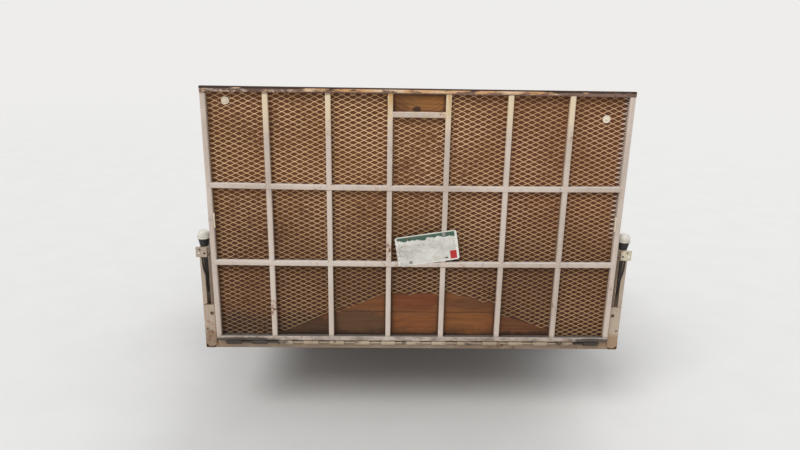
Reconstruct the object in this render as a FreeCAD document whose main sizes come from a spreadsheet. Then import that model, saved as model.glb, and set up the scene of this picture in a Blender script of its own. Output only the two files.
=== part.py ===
import FreeCAD, Part
import math
import os
import re
import Sketcher

# Utility trailer with a raised ramp gate. Millimetres, +Y towards the tongue, +Z up,
# floor at zero, and the origin below the middle of the whole trailer.

Vector = FreeCAD.Vector
Rotation = FreeCAD.Rotation
Placement = FreeCAD.Placement

doc = FreeCAD.newDocument("utility_trailer")
sheet = doc.addObject("Spreadsheet::Sheet", "Sizes")

SIZES = {
    # bed
    "bed_wide": 2134,
    "bed_long": 3658,
    "deck_over_axle": 155,
    "rail": 50.8,
    "rail_wall": 3.2,
    "cross_leg": 50.8,
    "cross_thick": 5,
    "plank_thick": 38,
    "plank_gap": 6,
    "plank_play": 0.3,
    # open sides
    "side_high": 496,
    "top_tube": 44.45,
    "post_tube": 38.1,
    "post_wall": 3,
    "post_deep": 50,
    "post_lip": 22,
    "plate_wide": 54.5,
    "plate_high": 52.5,
    "end_plate_out": 5,
    "foot_plate_in": 13.5,
    "plate_thick": 5,
    "foot_plate_top": 190,
    "foot_plate_drop": 42,
    "foot_hole": 9,
    "foot_hole_in": 13.5,
    "foot_hole_high": 143,
    "foot_slot": 6,
    "foot_slot_out": 15,
    "foot_slot_high": 57,
    # tongue and coupler
    "tongue_long": 1220,
    "tongue_angle": 25,
    "channel_high": 76.2,
    "channel_wide": 38.1,
    "channel_thick": 5,
    "channel_tip": 45,
    "nose_back": 160,
    "nose_radius": 45,
    "nose_top": 12,
    "socket_radius": 26,
    "socket_straight": 30,
    "nose_skirt": 54,
    "coupler_plate": 6,
    "coupler_long": 360,
    "lever_long": 95,
    "lever_wide": 16,
    "lever_high": 12,
    # tongue jack
    "jack_back": 270,
    "jack_radius": 28.6,
    "leg_radius": 25.4,
    "leg_wall": 4,
    "slide_play": 0.05,
    "jack_below": 119,
    "jack_above": 321,
    "jack_cap": 22,
    "jack_cap_radius": 34,
    "jack_flange": 8,
    "jack_flange_radius": 58,
    "leg_overlap": 170,
    "foot_radius": 70,
    "foot_thick": 6,
    "crank_rise": 30,
    "crank_arm": 160,
    "crank_grip": 90,
    "crank_rod": 8,
    # axle, springs and wheels
    "axle_back": 1463,
    "axle_radius": 30,
    "axle_past": 6,
    "spindle_radius": 17.5,
    "spindle_play": 0.05,
    "spindle_short": 12,
    "spring_wide": 40,
    "spring_half": 330,
    "spring_rise": 75,
    "leaf_thick": 7,
    "leaf_step": 80,
    "eye_radius": 15,
    "eye_bolt": 7,
    "seat_high": 6,
    "seat_long": 80,
    "tie_plate": 8,
    "tie_edge": 4,
    "ubolt_radius": 6,
    "ubolt_out": 28,
    "hanger_plate": 5,
    "hanger_long": 60,
    "hanger_play": 0.2,
    "tyre_dia": 690,
    "tyre_wide": 195,
    "tyre_wall": 12,
    "tread_thick": 16,
    "tread_edge": 26,
    "shoulder": 12,
    "flank_low": 0.32,
    "flank_high": 0.39,
    "tyre_gap": 18,
    "rim_dia": 381,
    "rim_wide": 152,
    "rim_lip": 18,
    "rim_wall": 4,
    "rim_drop": 20,
    "disc_flat": 22,
    "disc_slope": 22,
    "disc_rise": 18,
    "disc_turn": 8,
    "seat_play": 0.2,
    "hub_radius": 32,
    "hub_flange": 70,
    "hub_flange_thick": 8,
    "hub_inner": 55,
    "hub_outer": 42,
    "hub_cap": 20,
    "hub_cap_step": 5,
    "hub_wall": 8,
    "stud_circle": 57.15,
    "stud_radius": 6,
    "stud_hole": 8,
    "stud_long": 22,
    "nut_size": 11,
    "nut_high": 14,
    "hand_circle": 128,
    "hand_radius": 15,
    # fenders
    "fender_wide": 229,
    "fender_gap": 55,
    "fender_thick": 3,
    "fender_skirt": 55,
    # ramp gate
    "gate_side_gap": 19.35,
    "gate_high": 1270,
    "gate_gap": 5,
    "gate_tube": 25.4,
    "gate_wall": 2.1,
    "gate_top_high": 25.4,
    "middle_bay": 270,
    "middle_shift": 3.25,
    "side_bay_more": 2.5,
    "low_rail_high": 419,
    "mid_rail_high": 807,
    "short_rail_high": 1151,
    "strand_thick": 2.2,
    "strand_wide": 4,
    "diamond_long": 50.8,
    "diamond_short": 23.4,
    "mesh_edge": 8,
    "tear_left": 56,
    "tear_left_top": 281,
    "tear_right_top": 284,
    "tear_right_mid": 211,
    "tear_right": 85,
    "ply_thick": 12,
    "ply_edge": 6,
    "ply_top_edge": 20,
    "bolt_left_in": 110,
    "bolt_left_down": 67,
    "bolt_right_in": 120,
    "bolt_right_down": 129,
    "washer_radius": 18.5,
    "washer_thick": 3,
    "bolt_radius": 5,
    "bolt_play": 0.3,
    "bolt_head": 5,
    "bolt_head_radius": 9,
    "nut_thick": 8,
    "tab_wide": 5,
    "tab_deep": 12,
    "tab_low": 597,
    "tab_high": 74,
    "tag_wide": 304.8,
    "tag_high": 152.4,
    "tag_thick": 1,
    "tag_shift": 57,
    "tag_centre": 502,
    "tag_tilt": 9,
    "tag_slot_out": 88.9,
    "tag_slot_up": 60.3,
    "tag_slot": 3.5,
    # gate hinge
    "knuckle": 25.4,
    "knuckle_long": 75,
    "hinge_end": 47.5,
    "knuckle_drop": 1,
    "hinge_gap": 1.5,
    "pin_radius": 6.35,
    "pin_play": 0.05,
    # lamps on the corner posts
    "boot_radius": 20,
    "boot_top": 29,
    "boot_high": 40,
    "lamp_radius": 30,
    "lamp_ring": 8,
    "lamp_ring_radius": 33,
    "lamp_high": 8,
    "lamp_forward": 24,
    "plate_hole": 5,
    "plate_hole_out": 15,
    "plate_hole_up": 13,
    "plate_hole_down": 6,
    "wire_radius": 4,
}
PLANKS = 11
CROSS_MEMBERS = 7
SIDE_BAYS = 4
LEAVES = 4
STUDS = 5
HAND_HOLES = 8
HINGE_STEPS = 7

for row, (name, value) in enumerate(SIZES.items(), start=1):
    sheet.set(f"A{row}", name.replace("_", " "))
    sheet.set(f"B{row}", str(value))
    sheet.setAlias(f"B{row}", name)
doc.recompute()

NAME = re.compile(r"[a-z][a-z0-9_]*")


def formula(text):
    """Point the size names in a formula at their cells in the sheet."""
    return NAME.sub(lambda word: "Sizes." + word[0] if word[0] in SIZES else word[0], str(text))


def worked(text):
    """The number that a formula of sizes gives."""
    return float(sheet.evalExpression(str(text)))


# Places that several pieces share, as formulas of the sizes
GATE_BACK = "(hinge_gap + knuckle / 2 + gate_tube / 2 + tag_thick + bolt_head)"
REAR = f"({GATE_BACK} - ({GATE_BACK} + bed_long + tongue_long) / 2)"
FRONT = f"({REAR} + bed_long)"
TIP = f"({FRONT} + tongue_long)"
DECK = "(tyre_dia / 2 + deck_over_axle)"
RAIL_LOW = f"({DECK} - rail)"
GATE_LOW = f"({DECK} + gate_gap)"
SIDE_TOP = f"({DECK} + side_high)"
TOP_LOW = f"({SIDE_TOP} - top_tube)"
POST_IN = "(bed_wide / 2 - top_tube)"
GATE_HALF = f"({POST_IN} - gate_side_gap)"
HINGE_Y = f"({REAR} - hinge_gap - knuckle / 2)"
HINGE_Z = f"({GATE_LOW} - knuckle_drop - knuckle / 2)"
GATE_Y = f"({HINGE_Y} - gate_tube / 2)"
MESH_Y = f"({HINGE_Y} + gate_tube / 2)"
PLY_Y = f"({MESH_Y} + 2 * strand_thick)"
AXLE_Y = f"({REAR} + axle_back)"
AXLE_Z = "(tyre_dia / 2)"
SPRING_X = "(bed_wide / 2 - rail / 2)"
SPRING_TOP = f"({AXLE_Z} - axle_radius - seat_high)"
SPRING_BOW = "((spring_half * spring_half + spring_rise * spring_rise) / (2 * spring_rise))"
FENDER_RADIUS = "(tyre_dia / 2 + fender_gap)"
WHEEL_X = "(bed_wide / 2 + tyre_gap + tyre_wide / 2)"
JACK_Y = f"({TIP} - jack_back)"
JACK_LOW = f"({RAIL_LOW} - jack_below)"
JACK_HIGH = f"({RAIL_LOW} + jack_above)"
BALL_Y = f"({TIP} - nose_radius)"
NOSE_LOW = f"({RAIL_LOW} - nose_skirt)"
PLATE_TOP = f"({RAIL_LOW} + coupler_plate)"
SIDES = (("left", -1), ("right", 1))
ALONG = {
    "x": Rotation(Vector(0, 1, 0), 90),
    "y": Rotation(Vector(1, 0, 0), -90),
    "z": Rotation(),
}
nodes = []


def place(item, x, y, z, turn=None):
    """Put an object at three formulas, turned first."""
    if turn is not None:
        item.Placement = Placement(Vector(), turn)
    for axis, text in (("x", x), ("y", y), ("z", z)):
        item.setExpression("Placement.Base." + axis, formula(text))
    return item


def box(wide, deep, high, x, y, z):
    item = doc.addObject("Part::Box", "Block")
    for name, text in (("Length", wide), ("Width", deep), ("Height", high)):
        item.setExpression(name, formula(text))
    return place(item, x, y, z)


def rod(radius, length, x, y, z, along="z"):
    item = doc.addObject("Part::Cylinder", "Rod")
    item.setExpression("Radius", formula(radius))
    item.setExpression("Height", formula(length))
    return place(item, x, y, z, ALONG[along])


def cone(low_radius, high_radius, length, x, y, z):
    item = doc.addObject("Part::Cone", "Cone")
    item.setExpression("Radius1", formula(low_radius))
    item.setExpression("Radius2", formula(high_radius))
    item.setExpression("Height", formula(length))
    return place(item, x, y, z)


def ball(radius, x, y, z):
    item = doc.addObject("Part::Sphere", "Ball")
    item.setExpression("Radius", formula(radius))
    return place(item, x, y, z)


def cut(base, *tools):
    for tool in tools:
        item = doc.addObject("Part::Cut", "Cut")
        item.Base = base
        item.Tool = tool
        base = item
    return base


def fuse(*items):
    item = doc.addObject("Part::MultiFuse", "Fuse")
    item.Shapes = list(items)
    return item


def common(*items):
    item = doc.addObject("Part::MultiCommon", "Common")
    item.Shapes = list(items)
    return item


def node(label, *items):
    """Name one sub-part: a single object, or several that it holds together."""
    if len(items) == 1:
        item = items[0]
    else:
        item = doc.addObject("Part::Compound", label)
        item.Links = list(items)
    item.Label = label
    nodes.append(item)
    return item


def square_tube(wide, deep, high, x, y, z, along, wall):
    """A hollow tube, open at both ends, whose wall is the same all round."""
    inner = [wide, deep, high]
    corner = [x, y, z]
    for k, axis in enumerate("xyz"):
        if axis != along:
            inner[k] = f"{inner[k]} - 2 * {wall}"
            corner[k] = f"{corner[k]} + {wall}"
    return cut(box(wide, deep, high, x, y, z), box(*inner, *corner))


def outward(sign, start, wide):
    """The lower x of a piece that starts at a distance from the middle and runs outward."""
    return f"({start})" if sign > 0 else f"(-({start}) - ({wide}))"


def plane_of(body, role):
    return [item for item in body.Origin.OriginFeatures if item.Role == role][0]


def outline(body, role, points):
    """A closed sketch of straight lines, each corner held by two formulas."""
    sketch = body.newObject("Sketcher::SketchObject", "Outline")
    sketch.AttachmentSupport = (plane_of(body, role), [""])
    sketch.MapMode = "FlatFace"
    places = [Vector(worked(u), worked(v), 0) for u, v in points]
    count = len(points)
    for k in range(count):
        sketch.addGeometry(Part.LineSegment(places[k], places[(k + 1) % count]))
    for k in range(count):
        sketch.addConstraint(Sketcher.Constraint("Coincident", k, 2, (k + 1) % count, 1))
    for k, pair in enumerate(points):
        for kind, text in zip(("DistanceX", "DistanceY"), pair):
            at = sketch.addConstraint(Sketcher.Constraint(kind, -1, 1, k, 1, worked(text)))
            sketch.setExpression(f"Constraints[{at}]", formula(text))
    return sketch


def padded(body, role, points, length, middle=False, offset="0"):
    """A pad of an outline, from its plane or both ways from it."""
    sketch = outline(body, role, points)
    sketch.setExpression("AttachmentOffset.Base.z", formula(offset))
    pad = body.newObject("PartDesign::Pad", "Pad")
    pad.Profile = sketch
    pad.Midplane = middle
    pad.setExpression("Length", formula(length))
    return pad


def turned(body, points):
    """A turned shape: its outline gives x along the axle and y as the radius."""
    sketch = outline(body, "XY_Plane", points)
    turning = body.newObject("PartDesign::Revolution", "Turning")
    turning.Profile = sketch
    turning.ReferenceAxis = (sketch, ["H_Axis"])
    turning.Angle = 360
    return turning


def new_body():
    return doc.addObject("PartDesign::Body", "Body")


def tube_along(points, radius):
    """A round tube through straight runs joined by tangent arcs."""
    edges = []
    start = points[0]
    for k in range(1, len(points) - 1):
        before = (points[k] - points[k - 1])
        after = (points[k + 1] - points[k])
        shorter = min(before.Length, after.Length)
        half_turn = before.getAngle(after) / 2
        back = 0.45 * shorter
        bend = back / math.tan(half_turn)
        into = Vector(before).normalize()
        away = Vector(after).normalize()
        first = points[k] - into * back
        last = points[k] + away * back
        towards = Vector(away - into).normalize()
        crown = points[k] + towards * (bend / math.cos(half_turn) - bend)
        edges.append(Part.LineSegment(start, first).toShape())
        edges.append(Part.Arc(first, crown, last).toShape())
        start = last
        print("bend radius", round(bend, 1), "of a tube of radius", radius)
    edges.append(Part.LineSegment(start, points[-1]).toShape())
    path = Part.Wire(edges)
    ring = Part.Wire([Part.Circle(points[0], points[1] - points[0], radius).toShape()])
    return path.makePipeShell([ring], True, False)


# Bed frame: side rails, front and rear rails, and the cross members that carry the boards
for side, sign in SIDES:
    node(f"side_rail_{side}", square_tube(
        "rail", "bed_long", "rail",
        outward(sign, "bed_wide / 2 - rail", "rail"), REAR, RAIL_LOW, "y", "rail_wall"))
for label, start in (("rear_rail", REAR), ("front_rail", f"({FRONT} - rail)")):
    node(label, square_tube(
        "(bed_wide - 2 * rail)", "rail", "rail",
        "(rail - bed_wide / 2)", start, RAIL_LOW, "x", "rail_wall"))


def cross_y(number):
    return f"({REAR} + {number} * bed_long / {CROSS_MEMBERS + 1})"


def cross_member(number):
    """An angle bar with its level leg under the boards and its upright leg in front."""
    body = new_body()
    padded(body, "YZ_Plane", [
        ("0", "0"),
        ("0", "-cross_thick"),
        ("cross_leg - cross_thick", "-cross_thick"),
        ("cross_leg - cross_thick", "-cross_leg"),
        ("cross_leg", "-cross_leg"),
        ("cross_leg", "0"),
    ], "bed_wide - 2 * rail", middle=True)
    return place(body, "0", cross_y(number), f"{DECK} - plank_thick")


node("cross_members", *[cross_member(k) for k in range(1, CROSS_MEMBERS + 1)])

# Deck boards lie between the rails, flush with their tops
BOARD = f"((bed_wide - 2 * rail - {PLANKS + 1} * plank_gap) / {PLANKS})"
node("deck_planks", *[
    box(BOARD, "bed_long - 2 * (rail + plank_play)", "plank_thick",
        f"rail - bed_wide / 2 + plank_gap + {k} * ({BOARD} + plank_gap)",
        f"{REAR} + rail + plank_play", f"{DECK} - plank_thick")
    for k in range(PLANKS)])

# Open sides: posts, top rails and the channel posts at the rear corners
POST_MID = "(bed_wide / 2 - top_tube / 2)"
POST_HIGH = f"({TOP_LOW} - {DECK})"


def side_post(sign, number):
    last = " - post_tube / 2" if number == SIDE_BAYS else ""
    return square_tube(
        "post_tube", "post_tube", POST_HIGH,
        outward(sign, f"{POST_MID} - post_tube / 2", "post_tube"),
        f"({REAR} + {number} * bed_long / {SIDE_BAYS} - post_tube / 2{last})",
        DECK, "z", "post_wall")


for side, sign in SIDES:
    node(f"side_posts_{side}", *[side_post(sign, k) for k in range(1, SIDE_BAYS + 1)])
    node(f"top_rail_{side}", square_tube(
        "top_tube", "bed_long", "top_tube",
        outward(sign, POST_IN, "top_tube"), REAR, TOP_LOW, "y", "post_wall"))
node("top_rail_front", square_tube(
    "(bed_wide - 2 * top_tube)", "top_tube", "top_tube",
    "(top_tube - bed_wide / 2)", f"({FRONT} - top_tube)", TOP_LOW, "x", "post_wall"))
node("front_posts", *[
    square_tube("post_tube", "post_tube", POST_HIGH,
                f"({k} * bed_wide / 6 - post_tube / 2)", f"({FRONT} - post_tube)",
                DECK, "z", "post_wall")
    for k in (-1, 1)])


def corner_post(sign):
    """A lipped channel, open to the rear, whose wide lip is on the outside."""
    body = new_body()
    inner = "0"
    outer = f"{sign} * top_tube"
    wall_in = f"{sign} * post_wall"
    wall_out = f"{sign} * (top_tube - post_wall)"
    lip = f"{sign} * (top_tube - post_lip)"
    padded(body, "XY_Plane", [
        (inner, "0"),
        (wall_in, "0"),
        (wall_in, "post_deep - post_wall"),
        (wall_out, "post_deep - post_wall"),
        (wall_out, "post_wall"),
        (lip, "post_wall"),
        (lip, "0"),
        (outer, "0"),
        (outer, "post_deep"),
        (inner, "post_deep"),
    ], POST_HIGH)
    return place(body, f"{sign} * {POST_IN}", REAR, DECK)


def foot_plate(sign):
    """The bolted plate over the foot of a corner post, round at its lower end."""
    start = f"({POST_IN} - foot_plate_in)"
    left = outward(sign, start, "plate_wide")
    middle = f"{sign} * ({start} + plate_wide / 2)"
    centre = f"({DECK} - foot_plate_drop + plate_wide / 2)"
    sheet_part = box("plate_wide", "plate_thick", f"{DECK} + foot_plate_top - {centre}",
                     left, f"{REAR} - plate_thick", centre)
    end = rod("plate_wide / 2", "plate_thick", middle, f"{REAR} - plate_thick", centre, "y")
    holes = [
        rod(radius, "3 * plate_thick", f"{middle} + {sign} * ({across})",
            f"{REAR} - 2 * plate_thick", f"{DECK} + {height}", "y")
        for radius, across, height in (
            ("foot_hole", "-foot_hole_in", "foot_hole_high"),
            ("foot_slot", "foot_slot_out", "foot_slot_high"))]
    return cut(fuse(sheet_part, end), *holes)


def end_plate(sign):
    """The plate on the rear end of a top rail, with three holes."""
    start = f"({POST_IN} + end_plate_out)"
    plate = box("plate_wide", "plate_thick", "plate_high",
                outward(sign, start, "plate_wide"), f"{REAR} - plate_thick",
                f"{SIDE_TOP} - plate_high")
    holes = [
        rod("plate_hole", "3 * plate_thick",
            f"{sign} * ({start} + plate_wide / 2 + {across} * plate_hole_out)",
            f"{REAR} - 2 * plate_thick",
            f"{SIDE_TOP} - plate_high / 2 + {up}", "y")
        for across, up in ((-1, "(-plate_hole_down)"), (1, "(-plate_hole_down)"),
                           (0.5, "plate_hole_up"))]
    return cut(plate, *holes)


def lamp_x(sign):
    return f"{sign} * {POST_MID}"


# Each wire as places across from the post's inner wall, forward of its rear face, and down
INNER_WIRE = ((5.6, -4, 0), (5.6, -6, 40), (4.6, -1, 80), (4.6, 18, 115), (4.6, 20, 160))
OUTER_WIRE = ((26.4, -4, 0), (26, -7, 45), (14.4, -6, 90), (14.2, 0, 118), (14.2, 16, 150),
              (14.2, 18, 190))


def wire(sign, places):
    """One strand from the end plate's lower edge down into the channel of the post."""
    inner = worked(f"{POST_IN} + post_wall")
    rear = worked(REAR)
    under = worked(f"{SIDE_TOP} - plate_high - seat_play")
    radius = worked("wire_radius")
    route = [
        Vector(sign * (inner + across), rear + forward, under - down)
        for across, forward, down in places]
    item = doc.addObject("Part::Feature", "Wire")
    item.Shape = tube_along(route, radius)
    return item


for side, sign in SIDES:
    node(f"corner_post_{side}", corner_post(sign), foot_plate(sign), end_plate(sign))
    node(f"lamp_boot_{side}", cone(
        "boot_radius", "boot_top", "boot_high", lamp_x(sign), f"{REAR} + lamp_forward",
        SIDE_TOP))
    lens = fuse(
        rod("lamp_ring_radius", "lamp_ring", lamp_x(sign), f"{REAR} + lamp_forward",
            f"{SIDE_TOP} + boot_high"),
        rod("lamp_radius", "lamp_high", lamp_x(sign), f"{REAR} + lamp_forward",
            f"{SIDE_TOP} + boot_high + lamp_ring"),
        common(
            ball("lamp_radius", lamp_x(sign), f"{REAR} + lamp_forward",
                 f"{SIDE_TOP} + boot_high + lamp_ring + lamp_high"),
            rod("2 * lamp_radius", "lamp_radius", lamp_x(sign), f"{REAR} + lamp_forward",
                f"{SIDE_TOP} + boot_high + lamp_ring + lamp_high")))
    node(f"marker_lamp_{side}", lens)
    node(f"lamp_wires_{side}", wire(sign, INNER_WIRE), wire(sign, OUTER_WIRE))

# Tongue: two channels that run forward under the front rail and meet at the coupler
CHANNEL_BACK = f"({cross_y(CROSS_MEMBERS)} + cross_leg)"
CHANNEL_FRONT = f"({TIP} - nose_back)"
SLANT = "tan(tongue_angle)"
CHANNEL_RUN = f"({CHANNEL_FRONT} - {CHANNEL_BACK})"


def slanted(sign, width):
    """A strip that follows one side of the tongue, measured in from its outer edge."""
    across = f"{width} / cos(tongue_angle)"
    wide_end = f"channel_tip + {CHANNEL_RUN} * {SLANT}"
    return [
        (f"{sign} * ({wide_end})", CHANNEL_BACK),
        (f"{sign} * channel_tip", CHANNEL_FRONT),
        (f"{sign} * (channel_tip - {across})", CHANNEL_FRONT),
        (f"{sign} * ({wide_end} - {across})", CHANNEL_BACK),
    ]


for side, sign in SIDES:
    body = new_body()
    padded(body, "XY_Plane", slanted(sign, "channel_thick"), "channel_high")
    padded(body, "XY_Plane", slanted(sign, "channel_wide"), "channel_thick")
    padded(body, "XY_Plane", slanted(sign, "channel_wide"), "channel_thick",
           offset="channel_high - channel_thick")
    node(f"tongue_channel_{side}", place(body, "0", "0", f"{RAIL_LOW} - channel_high"))

# Coupler: a plate over the channels, a hollow nose with the ball socket, and its lever
plate_body = new_body()
padded(plate_body, "XY_Plane", [
    (f"{sign} * (channel_tip + {back} * {SLANT})", f"{CHANNEL_FRONT} - {back}")
    for sign, back in (
        (1, "(coupler_long - nose_back)"), (1, "0"), (-1, "0"),
        (-1, "(coupler_long - nose_back)"))
], "coupler_plate")
place(plate_body, "0", "0", RAIL_LOW)
neck = box("2 * channel_tip", "nose_back - nose_radius", f"{PLATE_TOP} - {NOSE_LOW}",
           "-channel_tip", CHANNEL_FRONT, NOSE_LOW)
nose = rod("nose_radius", f"{PLATE_TOP} + nose_top - {NOSE_LOW}", "0", BALL_Y, NOSE_LOW)
socket = rod("socket_radius", "socket_straight", "0", BALL_Y, NOSE_LOW)
dome = ball("socket_radius", "0", BALL_Y, f"{NOSE_LOW} + socket_straight")
jack_hole = rod("jack_radius + bolt_play", "6 * coupler_plate", "0", JACK_Y,
                f"{RAIL_LOW} - 2 * coupler_plate")
lever = box("lever_wide", "lever_long", "lever_high",
            "-lever_wide / 2", f"{BALL_Y} - lever_long", f"{PLATE_TOP} + nose_top")
node("coupler", cut(fuse(plate_body, neck, nose), socket, dome, jack_hole), lever)

# Tongue jack: outer tube with its flange and cap, crank, and the leg that slides in it
JACK_LONG = "(jack_above + jack_below)"
LEG_LONG = f"({JACK_LOW} + leg_overlap - foot_thick)"
barrel = rod("jack_radius", JACK_LONG, "0", JACK_Y, JACK_LOW)
flange = rod("jack_flange_radius", "jack_flange", "0", JACK_Y, PLATE_TOP)
cap = rod("jack_cap_radius", "jack_cap", "0", JACK_Y, JACK_HIGH)
bore = rod("leg_radius + slide_play", JACK_LONG, "0", JACK_Y, JACK_LOW)
node("jack_tube", cut(fuse(barrel, flange, cap), bore))
CRANK_Z = f"({JACK_HIGH} + jack_cap)"
node("jack_crank", fuse(
    rod("crank_rod", "crank_rise", "0", JACK_Y, CRANK_Z),
    rod("crank_rod", "crank_arm", "0", JACK_Y, f"{CRANK_Z} + crank_rise", "x"),
    ball("crank_rod", "0", JACK_Y, f"{CRANK_Z} + crank_rise"),
    ball("crank_rod", "crank_arm", JACK_Y, f"{CRANK_Z} + crank_rise"),
    rod("crank_rod", "crank_grip", "crank_arm", JACK_Y, f"{CRANK_Z} + crank_rise")))
node("jack_leg", fuse(
    rod("foot_radius", "foot_thick", "0", JACK_Y, "0"),
    cut(rod("leg_radius", LEG_LONG, "0", JACK_Y, "foot_thick"),
        rod("leg_radius - leg_wall", LEG_LONG, "0", JACK_Y, "2 * foot_thick"))))

# Axle with its spring seats and spindles
AXLE_END = "(bed_wide / 2 + axle_past)"
SPINDLE_END = f"({WHEEL_X} + hub_outer - spindle_short)"
axle_parts = [rod("axle_radius", f"2 * {AXLE_END}", f"-{AXLE_END}", AXLE_Y, AXLE_Z, "x")]
for side, sign in SIDES:
    length = f"({SPINDLE_END} - {AXLE_END})"
    axle_parts.append(rod(
        "spindle_radius", length, outward(sign, AXLE_END, length), AXLE_Y, AXLE_Z, "x"))
    seat_start = outward(sign, f"{SPRING_X} - spring_wide / 2", "spring_wide")
    axle_parts.append(common(
        box("spring_wide", "seat_long", "axle_radius + seat_high",
            seat_start, f"{AXLE_Y} - seat_long / 2", SPRING_TOP),
        rod(SPRING_BOW, "spring_wide", seat_start, AXLE_Y,
            f"{SPRING_TOP} + {SPRING_BOW}", "x")))
node("axle", fuse(*axle_parts))


def leaf(sign, number):
    """One curved leaf under the axle, each shorter than the one above it."""
    bow = f"({SPRING_BOW} + {number} * leaf_thick)"
    reach = f"(spring_half - {number} * leaf_step)"
    spread = f"asin({reach} / {bow})"
    pieces = []
    for radius in (f"{bow} + leaf_thick", bow):
        item = doc.addObject("Part::Cylinder", "Sector")
        item.setExpression("Radius", formula(radius))
        item.setExpression("Height", formula("spring_wide"))
        item.setExpression("Angle", formula(f"2 * {spread}"))
        start = Rotation(Vector(0, 1, 0), 90)
        item.Placement = Placement(Vector(), start)
        pieces.append(place(
            item, outward(sign, f"{SPRING_X} - spring_wide / 2", "spring_wide"),
            AXLE_Y, f"{SPRING_TOP} + {SPRING_BOW}", start * Rotation(
                Vector(0, 0, 1), -worked(spread))))
    return cut(*pieces)


EYE_Z = f"({SPRING_TOP} + spring_rise + eye_radius - leaf_thick)"


def main_leaf(sign):
    """The longest leaf, rolled into an eye at each end."""
    start = outward(sign, f"{SPRING_X} - spring_wide / 2", "spring_wide")
    ends = [f"{AXLE_Y} + {end} * spring_half" for end in (-1, 1)]
    eyes = [rod("eye_radius", "spring_wide", start, y, EYE_Z, "x") for y in ends]
    holes = [rod("eye_bolt", "spring_wide", start, y, EYE_Z, "x") for y in ends]
    return cut(fuse(leaf(sign, 0), *eyes), *holes)


def hanger(sign, end):
    """Two plates under the side rail, either side of a spring eye, with the bolt."""
    middle = f"{AXLE_Y} + {end} * spring_half"
    inside = f"({SPRING_X} - spring_wide / 2 - hanger_play - hanger_plate)"
    outside = f"({SPRING_X} + spring_wide / 2 + hanger_play)"
    reach = f"({RAIL_LOW} - {EYE_Z} + eye_radius)"
    plates = [
        box("hanger_plate", "hanger_long", reach, outward(sign, start, "hanger_plate"),
            f"{middle} - hanger_long / 2", f"{RAIL_LOW} - {reach}")
        for start in (inside, outside)]
    length = "(spring_wide + 2 * (hanger_play + hanger_plate))"
    bolt = rod("eye_bolt - spindle_play", length, outward(sign, inside, length), middle, EYE_Z, "x")
    return fuse(*plates, bolt)


def u_bolt(sign, across):
    """A bent rod over the axle whose legs pass the spring down to the tie plate."""
    x = f"{sign} * {SPRING_X} + {across} * ubolt_out"
    low = f"({SPRING_TOP} - {LEAVES} * leaf_thick - tie_plate)"
    reach = "(axle_radius + ubolt_radius)"
    arch = doc.addObject("Part::Torus", "Arch")
    arch.setExpression("Radius1", formula(reach))
    arch.setExpression("Radius2", formula("ubolt_radius"))
    arch.Angle3 = 180
    place(arch, x, AXLE_Y, AXLE_Z, Rotation(Vector(0, 0, 1), 90) * Rotation(Vector(1, 0, 0), 90))
    legs = [
        rod("ubolt_radius", f"{AXLE_Z} - {low}", x, f"{AXLE_Y} + {way} * {reach}", low)
        for way in (-1, 1)]
    return fuse(arch, *legs)


TIE_HALF = "(ubolt_out + ubolt_radius + tie_edge)"
TIE_DEEP = "(axle_radius + 2 * ubolt_radius + tie_edge)"
for side, sign in SIDES:
    node(f"leaf_spring_{side}", main_leaf(sign), *[leaf(sign, k) for k in range(1, LEAVES)])
    node(f"spring_hangers_{side}", hanger(sign, -1), hanger(sign, 1))
    tie = box(f"2 * {TIE_HALF}", f"2 * {TIE_DEEP}", "tie_plate",
              f"{sign} * {SPRING_X} - {TIE_HALF}", f"{AXLE_Y} - {TIE_DEEP}",
              f"{SPRING_TOP} - {LEAVES} * leaf_thick - tie_plate")
    node(f"spring_clamp_{side}", fuse(tie, u_bolt(sign, -1), u_bolt(sign, 1)))

# Wheels: tyre, rim and hub, all turning on the spindle
BEAD = "(rim_dia / 2 + seat_play)"
BEAD_OUT = "(rim_wide / 2 - seat_play)"
SECTION = f"(tyre_dia / 2 - {BEAD})"
FLANK_LOW = f"({BEAD} + flank_low * {SECTION})"
FLANK_HIGH = f"(tyre_dia / 2 - flank_high * {SECTION})"


def both_ways(points):
    """Repeat the right half of an outline, mirrored, from its end back to its start."""
    return points + [(f"-({u})", v) for u, v in reversed(points)]


def tyre(sign):
    body = new_body()
    turned(body, both_ways([
        (BEAD_OUT, BEAD),
        (BEAD_OUT, f"{BEAD} + rim_lip"),
        ("tyre_wide / 2", FLANK_LOW),
        ("tyre_wide / 2", FLANK_HIGH),
        ("tyre_wide / 2 - shoulder", "tyre_dia / 2 - shoulder"),
        ("tyre_wide / 2 - tread_edge", "tyre_dia / 2"),
    ]))
    hollow = outline(body, "XY_Plane", both_ways([
        (f"{BEAD_OUT} - tyre_wall", f"{BEAD} - seat_play"),
        (f"{BEAD_OUT} - tyre_wall", f"{BEAD} + rim_lip"),
        ("tyre_wide / 2 - tyre_wall", FLANK_LOW),
        ("tyre_wide / 2 - tyre_wall", FLANK_HIGH),
        ("tyre_wide / 2 - tread_edge - seat_play", "tyre_dia / 2 - tread_thick"),
    ]))
    groove = body.newObject("PartDesign::Groove", "Hollow")
    groove.Profile = hollow
    groove.ReferenceAxis = (hollow, ["H_Axis"])
    groove.Angle = 360
    return place(body, f"{sign} * {WHEEL_X}", AXLE_Y, AXLE_Z)


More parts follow.
